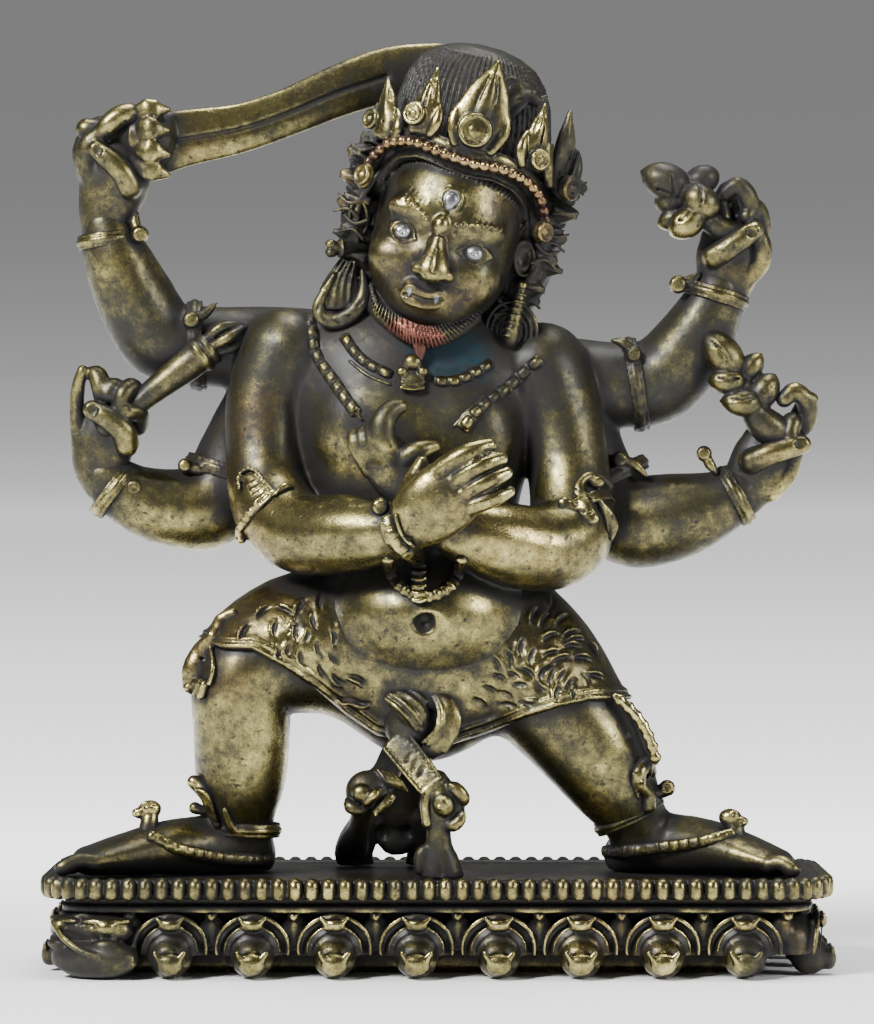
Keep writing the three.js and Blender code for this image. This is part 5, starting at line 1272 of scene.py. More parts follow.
def pelt_clay(body):
    """The pelt's paw on the right knee and its striped tail on the left shin."""
    paw = Clay((-56, -28, 48), (-36, -2, 76), STEPS["pelt"])
    paw.add(tube(laid(body, [(-40.6, 70.6, 1.2, 0.8), (-43, 69, 1.7, 1), (-44.6, 66, 1.5, 1),
            (-46.4, 63, 2.6, 1.5), (-47.8, 59.2, 3.2, 1.9), (-48.6, 55.8, 2.4, 1.5)])), 0.3)
    paw.add(tube(laid(body, [(-45.4, 64, 0.5), (-44.8, 60, 0.5), (-45.6, 56.6, 0.5)], 1.3)), 0.4)
    for k in range(4):
        toe = [(-46.6 - k * 0.7, 57 - abs(k - 1.5) * 0.4, 0.9), (-47.2 - k * 0.9, 54.2 + k * 0.5, 0.9)]
        paw.add(tube(laid(body, toe, 1.2)), 0.2)
    for x, z in ((-47, 61.6), (-48.8, 60.2), (-46.6, 59)):
        paw.cut(ball(spot_on(body, x, z, 2), (0.5, 1.4, 0.4)), 0.2)
    tail = Clay((32, -24, 37), (50, 4, 58), STEPS["pelt"])
    on = laid(body, [(35.6, 54, 1.3), (38.6, 51.6, 1.6), (41, 48.6, 1.7), (42.6, 45.4, 1.6),
            (43.6, 42.2, 1.4), (43.8, 40.6, 0.7)], 0.6)
    # a core that ties the links to the shin behind them
    tail.add(rod([(34.6, -6, 54.4, 1.6), (37.4, -6.5, 51.2, 1.9), (39.8, -6.5, 48, 2),
                  (41.4, -6.5, 44.8, 2), (42.2, -6.5, 41.6, 1.8)]), 0.3)
    tail.add(tube([(*s[:3], 0.6 * s[3]) for s in on]), 0.1)
    tail.add_all(cord(on, 2.2, 1.25, 0.8, 0.45), 0.06)
    return [paw, tail]


# Sash: a knot of two loops with a bordered end, and its casings and tails

def knot(clay):
    """A fan of ridges at its right and a bordered loop at its left, over a hidden core."""
    clay.add(ball(seen(-4.4, -11.4, 48.6), (6.4, 6, 5.4)), 1)
    clay.add(rod([(-9.4, -15.4, 53.8, 1.2, 1.2), (-6.9, -16.4, 52.6, 2.6, 1.7),
                  (-4.4, -16.8, 50.4, 2.9, 1.8), (-3.2, -16.4, 47.8, 1.7, 1.4)]), 0.3)
    clay.add_all(rods([
        [(-10.3, -16.4, 53.5), (-8.2, -18, 52), (-6, -18.5, 50), (-4.1, -17.8, 47.4)],
        [(-9.4, -16.2, 54.5), (-7, -18, 53), (-4.8, -18.8, 50.9), (-3.1, -18, 48.4)],
        [(-7.8, -16, 55.1), (-5.4, -17.6, 53.9), (-3.4, -18.2, 52), (-2.3, -17.6, 49.8)],
        [(-5.8, -15.8, 55.4), (-3.8, -16.8, 54.4), (-2.1, -17.2, 52.8)],
    ], 0.46), 0.1)
    clay.add(rod([(-0.3, -15.4, 54.4, 0.7, 0.8), (1.7, -16.6, 52.4, 1.8, 1.2), (2.4, -17.4, 49.8, 2.2, 1.3),
                  (1.9, -17.6, 47.1, 2.3, 1.3), (0.1, -17.4, 44.6, 2.3, 1.2), (-1.6, -16.6, 43, 1.8, 1)]),
                  0.15)
    clay.add_all(rods([
        [(0.2, -15.6, 54.8), (3.2, -16.9, 52.6), (4.5, -17.8, 49.8), (3.8, -18, 46.4), (1.6, -17.8, 42.9)],
        [(-1, -16, 54), (0.2, -17.6, 51.4), (0.1, -18.4, 48.8), (-0.6, -18.4, 47), (-2.8, -17.8, 44.8)],
        [(-0.2, -16.2, 54.2), (1, -18, 51.6), (0.9, -18.8, 48.6), (-1.8, -18.2, 44.4)],
    ], 0.4), 0.08)


def bordered_end(clay):
    """The sash's end, hanging down to the left, with a row of slanting grooves inside its border."""
    end = [(-8.4, -15.6, 45.4, 2.8, 0.8), (-6, -16.8, 42.4, 2.8, 0.9), (-3.6, -18, 39.4, 2.7, 0.9),
           (-1.6, -19, 36.8, 2.5, 0.9)]
    clay.add(rod(end), 0.2)
    way, across = unit((0.64, 0, -0.77)), np.array([0.77, 0, 0.64])
    for share, radius in ((-1, 0.38), (1, 0.38), (-0.68, 0.2), (0.68, 0.2)):
        clay.add(rod([(*(np.array(s[:3]) + across * share * s[3] - (0, 0.75, 0)), radius) for s in end]),
                 0.08)
    foot = np.array(end[-1][:3]) + way * 0.7 - (0, 0.7, 0)
    clay.add(rod([(*(foot + across * s), 0.42) for s in (-2.4, 0, 2.4)]), 0.08)
    for k in range(3):
        middle = np.array((-5.4, -17.9, 41.4)) + way * 1.9 * k - (0, 0.5 * k, 0)
        clay.cut(rod([(*(middle - across * 1.1), 0.26), (*(middle + across * 1.1 - way * 0.9), 0.26)]),
                 0.08)


def near_casing(clay):
    """A rough bright heart in a horned flower, over a flare with a slit."""
    clay.add(rod([(-12.8, 13, 29, 2.2), (-13.6, 13.6, 25.6, 1.8), (-14.2, 14, 22.8, 1.4)]), 0.5)
    clay.add(rod([(-0.6, -17.4, 37, 2.8, 2.2), (1.1, -17.6, 33.6, 3.2, 2.4), (0.8, -17.2, 29.6, 2.8, 2.2)]),
             0.4)
    clay.add(ball(seen(1.1, -16.8, 32.2), (4.5, 2.6, 4.5)), 0.5)
    clay.add(ball(seen(1.3, -19.6, 32.4), (2.1, 1.4, 2.5), turned_about_y(-24)), 0.12)
    for k in range(9):
        spot = (1.3 + 1.3 * math.sin(k * 2.4) * (k / 9), -20.8, 32.4 + 1.7 * math.cos(k * 2.4) * (k / 9))
        clay.add(ball(seen(*spot), (0.5, 0.4, 0.5)), 0.1)
    for petal in ([(1.6, -18.6, 36.2, 0.7), (3.6, -19.2, 35.6, 1.4), (5.3, -19, 33.8, 1.3),
                   (5.6, -18.4, 32.6, 0.6)],
                  [(-1.4, -18.6, 35.4, 0.9, 1.2), (-2.3, -18.8, 32.4, 1, 1.2), (-2, -18.6, 28.6, 1, 1.2)],
                  [(5, -18.2, 31.2, 0.6), (4.6, -18.8, 29.4, 1.2), (3.2, -18.8, 28.2, 1.3),
                   (1.6, -18.4, 28.4, 0.8)]):
        clay.add(rod(petal), 0.12)
    clay.add_all(rods([[(2.6, -20, 36.4), (4.8, -20.2, 35), (6, -19.4, 32.8)],
            [(5.2, -19.2, 30.9), (5.3, -19.6, 29), (3.8, -19.8, 27.5)]], 0.36), 0.08)
    clay.add(rod([(0.3, -17.2, 28.6, 2.3, 2), (0.4, -17, 24, 2.7, 2.2), (0.7, -16.9, 20.8, 3.8, 2.6),
                  (0.9, -16.8, 18.2, 4.4, 3)]), 0.4)
    clay.add(rod([(-1.6, -17.4, 24, 0.9), (-3.2, -17.6, 22.4, 1.3), (-3.4, -17.6, 19.4, 1.2)]), 0.3)
    for lean in (-1.3, 0.1, 1.2):
        clay.cut(rod([(0.5 + lean * 0.8, -19.6, 28.4, 0.3), (0.5 + lean, -19.8, 24, 0.45),
                      (0.7 + lean * 2, -20, 18.4, 0.6)]), 0.2)


def far_casing(clay):
    """A domed cap over a split heart, two leaves and ridged pleats."""
    clay.add(rod([(-6, 4, 47, 2.4, 2.4), (-8.4, 1, 42.6, 2.8, 2.4), (-10.2, -2, 38.8, 2.8, 2.4),
                  (-12.4, -4, 36.8, 2.6, 2.4)]), 0.4)
    for k in range(4):
        x, z = -11.9 + 1.05 * k, 39.4 - 0.2 * k
        clay.add(rod([(x, -5.4, z, 0.4), (x + 1.5, -6.2, z - 2, 0.5), (x + 2.6, -5.6, z - 3.6, 0.4)]), 0.1)
    clay.add(ball(seen(-13.8, -4.2, 35), (4.5, 3.2, 4.3)), 0.3)
    clay.add(ball(seen(-15, -7, 34.6), (2.1, 1.6, 1.9)), 0.15)
    clay.add(rod([(-14, -7.8, 32.9, 1), (-12.6, -8.2, 34.2, 1.1), (-11.4, -7.6, 35.6, 0.5)]), 0.15)
    clay.cut(rod([(-13.4, -9.6, 35.8, 0.35), (-14, -9.4, 34, 0.35), (-14.2, -9, 32.6, 0.3)]), 0.1)
    clay.add(rod([(-17.9, -5.6, 33.4, 0.6), (-17.3, -6.6, 31.9, 1.3), (-15.5, -6.8, 31.2, 1.2),
                  (-14.4, -6.4, 31.6, 0.6)]), 0.12)
    clay.add(rod([(-9.3, -5.8, 33.9, 1), (-10.8, -6.6, 32.4, 1.3), (-12.2, -6.6, 31, 0.9)]), 0.12)
    for k in range(5):
        clay.add(ball(seen(-9.2 - 0.75 * k, -7.4, 33.2 - 0.75 * k), 0.36), 0.06)
    clay.add(rod([(-14.8, -3, 31.8, 2.2, 2), (-15.4, 1, 28.8, 2.2, 2), (-16.6, 8, 25.6, 3, 2),
                  (-17.2, 14, 22.4, 3.4, 2), (-17, 15, 20, 2.4, 2)]), 0.4)


def back_tails(clay):
    """The tails that hang behind, in shade: a dished heart between two stems."""
    clay.add(rod([(-5, 4, 47, 4.6, 3.4), (-5.6, 8, 40, 3.8, 2.6), (-6.4, 11, 34, 3.6, 2.4),
                  (-8.4, 13, 29.4, 4.6, 2)]), 0.8)
    clay.add(rod([(-12.6, 13, 28, 2, 1.8), (-10.6, 13.6, 27.6, 2.8, 1.8), (-8.6, 13.8, 24.6, 2.6, 1.8),
                  (-7.4, 13.8, 23.4, 1, 1)]), 0.5)
    clay.add(rod([(-5, 13, 28, 2, 1.8), (-6, 13.6, 27.4, 2.6, 1.8), (-7, 13.8, 24.6, 2.4, 1.8),
                  (-7.4, 13.8, 23.4, 1, 1)]), 0.5)
    for x in (-10.8, -6):
        clay.cut(ball(seen(x, 11.4, 26.6), (1.7, 1.5, 1.7)), 0.4)
    clay.add(rod([(-4, 12, 30, 2, 2), (-2.8, 14, 26, 2.2, 2), (-3.4, 16, 22, 2.8, 2),
                  (-3.2, 17, 18.6, 3, 2.4)]), 0.4)
    clay.add(rod([(-12, 12, 32, 1.6, 1.6), (-14, 14, 28, 1.8, 1.6), (-15, 16, 24, 2.2, 1.8),
                  (-14.8, 17, 18.6, 2.4, 2)]), 0.4)


def sash_clay():
    clay = Clay((-26, -32, 17), (12, 32, 60), STEPS["sash"])
    for part in (knot, bordered_end, near_casing, far_casing, back_tails):
        part(clay)
    return clay.keep(floor_cut)


# Jewellery

# Bands round the upper arms: place, direction and radius
ARMLETS = [((-48, 9.5, 124.2), (1, 0, 0.05), 8.5), ((39.6, 9.5, 116.4), (1, 0, 0.16), 8.9),
           ((-41.6, 10, 99), (-0.3, 0, -1), 8.4), ((33.4, 10, 97.4), (0.45, 0, -1), 8.9)]
# Their knobs: place, radius and the two places of a leaf
ARMLET_KNOBS = [((-49.1, 1, 129.3), 1.9, ((-46.6, 1.6, 130.4), (-44.2, 2, 132.6))),
                ((39.4, 1.4, 122.4), 1.7, ((37.4, 1.6, 124.6), (35, 2, 125.2))),
                ((-50.4, 3, 100.2), 1.5, ((-47.6, 3, 99.4), (-45.6, 3, 99.4))),
                ((36.6, 2, 101.4), 1.7, ((39.6, 2, 100.4), (42, 2, 98)))]


def near_right_armlet(body):
    """On the right arm in front: a strap, and a pointed plaque with a beaded edge and bars across it."""
    clay = Clay((-44, -26, 82), (-26, 10, 104), STEPS["near bands"])
    strap(clay, laid(body, [(-35.6, 92.3), (-37.1, 90.8), (-38.4, 88.9), (-39.3, 87.2), (-39.2, 85.4)],
            0.3), 1.1, 1.7)
    clay.add(ring(seen(-34.4, -4.6, 90.4), unit((0.7, 0.5, 0.9)), 8.3, 0.5, 0.9), 0.2)
    plaque = [(-38.6, 97.6, 0.8, 0.7), (-37, 97, 1.7, 0.8), (-35.4, 95, 2, 0.8), (-34, 93.4, 1.6, 0.8)]
    clay.add(tube(laid(body, plaque, 0.2), fine=4), 0.2)
    rim = [(-39.4, 95.4), (-39.7, 97.9), (-38.2, 99.5), (-36.3, 99.1), (-34.6, 97.1), (-33.2, 95.3),
           (-31.9, 94.4)]
    clay.add_all(cord(laid(body, rim, 0.7), 1.0, 0.5, 1.0, 0.05), 0.12)
    bars = (((-37.9, 96.2), (-36.2, 97)), ((-37.3, 95), (-35.6, 96.1)), ((-36.8, 94), (-35.1, 95.3)),
            ((-36.3, 92.9), (-34.4, 94.5)), ((-35.3, 92.1), (-33.5, 93.7)))
    clay.add_all(inlaid([*body, clay], bars, 0.34, 0.1), 0.06)
    clay.add(tube(laid(body, [(-31.6, 95.2, 0.7), (-30.4, 95.9, 0.95), (-28.8, 95.8, 0.4)], 0.4)), 0.2)
    return clay


def near_left_armlet(body):
    """On the left arm in front: a plain band under a snake with a round eye and a second coil."""
    clay = Clay((22, -26, 82), (38, 10, 104), STEPS["near bands"])
    bracelet(clay, (27.2, -7, 89.6), (-0.6, 0.3, 1), 8.6, 0.9)
    snake = [(34.6, 96.2, 0.8), (33, 97.6, 1), (30.4, 98, 1), (28.6, 96.6, 1, 0.9), (28.6, 94.2, 1.5, 0.9),
             (29.6, 91.6, 1.7, 1), (31, 89.2, 1.5, 0.9)]
    clay.add(tube(laid(body, snake, 0.5), fine=4), 0.2)
    eye = spot_on(body, 32, 96.9, 1.5)
    clay.add(ball(eye, (1.5, 0.9, 1.2)), 0.2)
    clay.add(ring(eye - (0, 0.7, 0), (0, 1, 0), 0.8, 0.25), 0.08)
    for z in (95.2, 93.8, 92.4, 91):
        clay.cut(tube(laid([*body, clay], [(27.6, z + 0.3, 0.2), (31.2, z - 0.4, 0.2)])), 0.08)
    coil = [(32.6, 92.8, 0.8), (34, 90.4, 1.3, 0.9), (34.8, 88, 1.5, 0.9), (34.8, 85.6, 0.5)]
    clay.add(tube(laid(body, coil, 0.5)), 0.2)
    clay.add(tube(laid([*body, clay], [(33, 92, 0.3), (33.8, 89.6, 0.35), (34.2, 87.2, 0.3)], 0.2)), 0.1)
    clay.add(ball(spot_on(body, 25.4, 92.7, 0.4), (1.3, 0.9, 1.2)), 0.2)
    return clay


def armlets_clay(body):
    near_right, near_left = near_right_armlet(body), near_left_armlet(body)
    clay = Clay((-56, -26, 80), (54, 24, 138), STEPS["armlets"])
    for band in ARMLETS:
        bracelet(clay, *band, 1.3, 30)
    for ornament in ARMLET_KNOBS:
        knob(clay, *ornament)
    return [clay, near_right, near_left]


def front_bracelet(body):
    """The strap on the right wrist in front, between two cords, with a ringed ball."""
    clay = Clay((-18, -40, 78), (2, -14, 98), STEPS["near bands"])
    near = [*body, clay]
    strap(clay, laid(near, [(-9.6, 89.6), (-9.2, 87.6), (-8, 84.9), (-5.6, 82.6), (-2.8, 81.4)], 0.5), 1.5,
          2)
    clay.add_all(inlaid(near, ([(-11, 88.6), (-10.6, 86.6), (-9.2, 83.8), (-6.4, 81.2), (-3.6, 80)],
            [(-8.2, 90.2), (-7.8, 88.4), (-6.8, 86), (-4.6, 84), (-2, 82.8)]), 0.4, 0.4), 0.1)
    spot = spot_on(body, -11.3, 91.9, 0.8)
    clay.add(ball(spot, (1.85, 1.6, 1.85)), 0.2)
    clay.add(ring(spot - (0, 1.3, 0), (0, 1, 0), 1.1, 0.35), 0.1)
    return clay


def bracelets_clay(body):
    right = Clay((-80, -10, 86), (-50, 16, 152), STEPS["bracelets"])
    left = Clay((42, -10, 86), (74, 16, 146), STEPS["bracelets"])
    for clay, at, along, radius in (
        (right, (-66, 5.3, 145.2), (-0.12, 0, 1), 5.3), (right, (-64.6, 5.3, 95.2), (-0.9, 0, 0.7), 5.7),
        (left, (55.8, 5.3, 134.2), (0.3, 0, 1), 6.0), (left, (59.6, 5.3, 94.2), (1, 0, 0.55), 5.8),
    ):
        bracelet(clay, at, along, radius, 1.2, 22)
    knob(right, (-59.4, 1, 146.4), 1.8, ((-60.4, 2, 148.8), (-60, 2, 150.8)))
    knob(right, (-60.6, 1, 95.8), 1.8, ((-61.6, 1, 93), (-62.6, 1, 91.4)))
    knob(left, (48.2, 1.6, 136.4), 1.9, ((51, 2, 137.4), (52.6, 2, 138.6)))
    knob(left, (53.4, 1.4, 102.6), 1.6, ((54.6, 1.4, 100.4), (56, 1.4, 98.6)))
    return [right, left, front_bracelet(body)]


def foot_snake(clay, side, base, head):
    """A snake that rises from the instep, with a ringed eye and a snout split by its mouth."""
    x, y, z = head
    clay.add(rod([(*base, 1.9), (base[0] - side * 0.5, base[1] + 0.3, (base[2] + z) / 2, 1.8),
                  (x, y, z - 0.8, 1.6)]), 0.3)
    clay.add(ball(seen(x, y, z - 0.1), (2.3, 1.9, 1.8)), 0.3)
    clay.add(ball(seen(x + side * 2.1, y - 0.7, z - 0.9), (1.6, 1.4, 1.1)), 0.4)
    clay.cut(rod([(x + side * 3.8, y - 1.6, z - 1.1, 0.3), (x + side * 1.6, y - 2.2, z - 0.8, 0.25)]), 0.1)
    clay.add(ring(seen(x + side * 0.8, y - 1.7, z + 0.5), (0, 1, 0), 0.7, 0.28), 0.08)


def anklets_clay(body):
    right = Clay((-74, -26, 17), (-26, 14, 44), STEPS["anklets"])
    left = Clay((26, -26, 17), (76, 14, 46), STEPS["anklets"])
    bracelet(right, (-38.4, -2.4, 27.6), (0.05, 0, 1), 6.5, 1.1, 22)
    for path in ([(-44, 28.4, 0.9), (-45.2, 31.4, 1.2), (-45.9, 34, 1.5), (-47.3, 36, 1.7),
                  (-48.6, 36.9, 1.4)],
                 [(-39.6, 26.6, 0.8), (-41.4, 28.4, 1), (-42.4, 31.4, 0.6)]):
        right.add(tube(laid(body, path, 0.4)), 0.2)
    ridge = [(-44.2, 29.4, 0.4), (-45.2, 32.4, 0.45), (-46.2, 34.6, 0.5), (-48, 35.4, 0.4)]
    right.add(tube(laid([*body, right], ridge, 0.2)), 0.1)
    right.add(rod([(-44.6, -6, 31.8, 1), (-46.6, -6.4, 31.2, 1), (-48.4, -6.4, 31.7, 1.25)]), 0.15)
    bracelet(left, (38.4, -2.8, 30.2), (0.45, 0, -1), 6.7, 1.1, 22)
    crest = [(42.4, 32, 1.4), (42.2, 34.4, 1.3), (40.6, 36.4, 1.2), (40.4, 38.8, 1.6), (41.8, 40.4, 1.7),
             (43, 38.8, 1)]
    left.add(tube(laid(body, crest, 0.5)), 0.2)
    for ridge in ([(39.4, 38.6, 0.38), (39.2, 36.6, 0.38), (40.4, 33.6, 0.38)],
                  [(42.8, 39.8, 0.38), (42.4, 37.8, 0.42), (41, 37, 0.38)]):
        left.add(tube(laid([*body, left], ridge, 0.3)), 0.1)
    left.add(rod([(41.8, -7, 34.2, 1.4), (44, -6, 34.6, 1.3), (46, -5.4, 35.7, 1.7)]), 0.2)
    left.add(ring(seen(46, -7, 35.8), (0, 1, 0), 1, 0.3), 0.08)
    # a plated strap over each foot, and the snakes' heads
    strap(right, laid(body, [(-33.4, 21.6), (-37, 21.4), (-42, 21.6), (-47, 22.4), (-52, 23.6),
            (-57.2, 26)], 0.4), 1.3)
    strap(left, laid(body, [(33.6, 23), (38, 23.1), (44, 23.7), (50, 24.4), (55, 25.4), (59, 26.4)], 0.4),
          1.3)
    foot_snake(right, -1, (-58, -9.5, 26.4), (-57.4, -8.6, 31.6))
    foot_snake(left, 1, (60, -11, 25.8), (58.6, -10.4, 29.9))
    return [right.keep(floor_cut), left.keep(floor_cut)]


# Runs of links: stations (x, z), pitch and half width
NECKLACES = [
    ([(-25.6, 130), (-25, 126.6), (-24.3, 123), (-22.4, 119.6), (-19, 114.6), (-16.2, 110.8)], 2.9, 1.05),
    ([(20.6, 121.4), (17, 118.4), (13.4, 115.3), (8, 111.2), (5.2, 107.6)], 2.9, 1.05),
    ([(-18.6, 126), (-16.2, 122.6), (-13.4, 120.2), (-9.4, 118.3)], 2.6, 0.92),
    ([(-0.4, 117), (3.6, 117), (7.4, 118.6), (10.8, 120.6)], 2.6, 0.92),
]


def pendant(clay, body):
    """A ringed ball over a barred block, under the choker."""
    clay.add(ball(spot_on(body, -4.9, 120.8, 1.2), (2, 1.8, 1.8)), 0.2)
    clay.add(ring(spot_on(body, -4.9, 120.6, 2.4), (0, 1, 0), 0.9, 0.3), 0.1)
    for x in (-7, -2.8):
        clay.add(ball(spot_on(body, x, 119, 1.4), (1.1, 1, 1)), 0.2)
    for z in (118, 116.9, 115.8):
        clay.add(tube(laid(body, [(-7, z, 0.5), (-4.9, z - 0.3, 0.55), (-2.8, z, 0.5)], 1.2)), 0.08)
    clay.add(ball(spot_on(body, -4.9, 117, 0.4), (2.7, 1.3, 2.2)), 0.2)


FESTOON_DEPTH = -24


def festoon(clay, body):
    """A short loop of links hanging below the crossed arms, with a barred drop."""
    hoop = [(-2.4 + 7.4 * math.sin(a), 82 - 8 * math.cos(a)) for a in np.linspace(-1.5, 1.5, 9)]
    clay.add(tube([(*s[:3], 1.2, 1) for s in laid(body, hoop, 0.2, FESTOON_DEPTH)]), 0.1)
    clay.add_all(cord(laid(body, hoop, 0.8, FESTOON_DEPTH), 1.7, 1.35, 0.5, 0.35), 0.04)
    for z in (80.4, 79, 77.6, 76.2, 74.8, 73.4):
        bar = [(-4.8, z, 0.5), (-3.6, z - 0.3, 0.6), (-2.4, z, 0.5)]
        clay.add(tube(laid(body, bar, 1.4, FESTOON_DEPTH)), 0.06)
    drop = laid(body, [(-3.6, 81), (-3.6, 74)], 0.6, FESTOON_DEPTH)
    clay.add(tube([(*s[:3], 1.5, 1) for s in drop]), 0.2)


def necklaces_clay(body):
    clay = Clay((-30, -30, 68), (24, 6, 134), STEPS["necklaces"])
    for run, pitch, wide in NECKLACES:
        on = laid(body, run, 0.5)
        clay.add(tube([(*s[:3], wide + 0.35, 0.5) for s in laid(body, run)]), 0.1)
        clay.add_all(cord(on, pitch, wide, 0.7, 0.25), 0.03)
    clay.add_all(inlaid(body, ([(-22.8, 121), (-20.6, 117), (-17.4, 112.4), (-15, 109.4)],
            [(9.4, 114.2), (6, 111.2), (3.4, 108)], [(-17.4, 121), (-13.8, 118.2), (-9.4, 116.4)]), 0.4,
            0.1), 0.15)
    pendant(clay, body)
    festoon(clay, body)
    return clay


# Plinth: a lotus of round petals under a rim of upright beads

PLAN_LENGTH, PLAN_DEPTH, PLAN_CORNER = 155.6, 58.0, 13.0
# How far inside the rim the petals stand, and their foot
PETAL_INSET = 6
FOOT_INSET = 17.0
BEAD_PITCH, PETAL_PITCH = 3.25, 16.3
# How far round the plan the row of petals is shifted, to put them where the front shows them
PETAL_SHIFT = 4
# Below this height a petal's lobe is cut away, and its foot takes the place
LOBE_FOOT = 4.5


def on_plan(distance, inset):
    """A point and its outward direction on the plan, at a distance round it from the front's middle."""
    corner = PLAN_CORNER - inset
    half = (PLAN_LENGTH / 2 - PLAN_CORNER, PLAN_DEPTH / 2 - PLAN_CORNER)
    arc = corner * math.pi / 2
    runs = (half[0], arc, 2 * half[1], arc, 2 * half[0], arc, 2 * half[1], arc, half[0])
    left = distance % sum(runs)
    run = 0
    while left > runs[run]:
        left -= runs[run]
        run += 1
    facing = run // 2 * math.pi / 2 - math.pi / 2 + (left / corner if run % 2 else 0)
    out = np.array([math.cos(facing), math.sin(facing)])
    corners = ((half[0], -half[1]), (half[0], half[1]), (-half[0], half[1]), (-half[0], -half[1]))
    if run % 2:
        return np.array(corners[(run - 1) // 2]) + out * corner, out
    start = ((0, -half[1]), *corners)[run // 2]
    return np.array(start) + out * corner + np.array([-out[1], out[0]]) * left, out


def around(inset):
    corner = PLAN_CORNER - inset
    return 2 * (PLAN_LENGTH + PLAN_DEPTH - 4 * PLAN_CORNER) + 2 * math.pi * corner


def plan_block(inset, low, high):
    half = (PLAN_LENGTH / 2 - inset, PLAN_DEPTH / 2 - inset, (high - low) / 2)
    return upright((0, 0, (low + high) / 2), half, max(1.0, PLAN_CORNER - inset))


def plan_frame(distance, inset):
    """A place on the plan as (across, outwards, up) coordinates, and the turn that goes with them."""
    at, out = on_plan(distance, inset)
    side = np.array([-out[1], out[0]])
    turn = np.array([[side[0], -out[0], 0], [side[1], -out[1], 0], [0, 0, 1]])
    return (lambda across, forth, up: (*(at + side * across + out * forth), up)), turn


def rim_clay():
    clay = Clay((-81, -31.5, 11), (81, 31.5, 21), STEPS["plinth"])
    clay.add(plan_block(2.6, 15.8, 19.4))
    clay.cut(plan_block(4, PLINTH_TOP, 22), 0.4)
    clay.add(plan_block(5.4, 13.6, 16), 0.3)
    clay.add(plan_block(4.2, 12.8, 14.3), 0.5)
    count = round(around(0) / BEAD_PITCH)
    for k in range(count):
        place, _ = plan_frame(around(0) * (k + 0.5) / count, 0)
        outward = tuple(np.array(place(0, 1, 0)) - place(0, 0, 0))
        clay.add(tube([(*place(0, -1.6, z), 1.5, 1.8) for z in (16.8, 18.5)], outward, 1), 0.02)
    return clay


def crest(clay, place, turn, up, forth, wide, tall):
    """A petal's folded tip: a shield with two horns, a notch between them and a curved crease."""
    clay.add(ball(place(0, forth, up - 0.12 * tall), (wide * 0.86, 1.6, tall * 0.52), turn), 0.15)
    clay.add(ball(place(0, forth - 1.4, up - 0.12 * tall), (wide * 0.8, 2, tall * 0.5), turn), 0.15)
    for s in (-1, 1):
        clay.add(tube([(*place(s * wide * 0.5, forth + 0.6, up), 0.25 * wide),
                       (*place(s * wide * 0.95, forth + 0.5, up + 0.4 * tall), 0.17 * wide)], fine=1), 0.12)
        clay.cut(tube([(*place(s * 0.7 * wide, forth + 1.3, up + 0.24 * tall), 0.24),
                       (*place(s * 0.3 * wide, forth + 1.8, up - 0.1 * tall), 0.3),
                       (*place(s * 0.12 * wide, forth + 1.9, up - 0.34 * tall), 0.24)]), 0.08)
    clay.cut(ball(place(0, forth + 1.2, up + 0.55 * tall), (0.3 * wide, 1.4, 0.22 * tall), turn), 0.15)


def petal(clay, distance, corner):
    """One petal above its foot: a domed lobe with a raised rim and a folded tip."""
    place, turn = plan_frame(distance, PETAL_INSET)
    clay.add(ball(place(0, -2.4, 6), (7.4, 5.6, 6.8), turn), 0.1)
    outer = [(*place(7 * math.sin(t), 1.3 + 1.4 * math.cos(t * 0.8), 6 + 6.4 * math.cos(t)), 0.5)
             for t in np.linspace(-1.75, 1.75, 15)]
    clay.add(tube(outer, fine=2), 0.45)
    inner = [(*place(5.3 * math.sin(t), 2.5 + 1.2 * math.cos(t * 0.8), 5.6 + 4.9 * math.cos(t)), 0.3)
             for t in np.linspace(-1.6, 1.6, 11)]
    clay.add(tube(inner, fine=2), 0.5)
    if not corner:
        crest(clay, place, turn, 11, 3.4, 2.7, 2.7)


# The ridge of a corner's lobe: inwards, forth, up and radius
CORNER_RIDGE = [(-6.4, 3.4, 11, 0.5), (-2.6, 5.4, 8, 0.7), (2, 6, 5.6, 0.7), (6.4, 4.6, 4.2, 0.6),
                (9, 2, 3.6, 0.35)]


def petal_foot(clay, distance, corner):
    """What a petal stands on: a round knob with a folded tip, or at a corner a broad smooth lobe."""
    place, turn = plan_frame(distance, PETAL_INSET)
    if not corner:
        clay.add(ball(place(0, 1.2, 4.2), (4.3, 4, 4.1), turn), 0.1)
        crest(clay, place, turn, 3.8, 5.1, 3, 4.4)
        return
    out = on_plan(distance, PETAL_INSET)[1]
    inwards = 1 if out[0] * out[1] > 0 else -1
    clay.add(ball(place(inwards * 1.6, 0.8, 4), (9.4, 5, 4.1), turn), 0.1)
    clay.add(ball(place(0, -0.8, 9.4), (9, 4.6, 3.6), turn), 0.3)
    clay.add(tube([(*place(inwards * across, forth, up), r) for across, forth, up, r in CORNER_RIDGE]), 0.3)
    for s in (-1, 1):
        beside, turned_to = plan_frame(distance + s * 3.6, PETAL_INSET)
        for forth, up, radii, blend in ((2.8, 11.4, (5, 1.8, 0.9), 0.3), (3.6, 10.2, (2.2, 1.8, 1.7), 0.4),
                (4.4, 6.8, (2.6, 1.6, 1.2), 0.4)):
            clay.add(ball(beside(0, forth, up), radii, turned_to), blend)


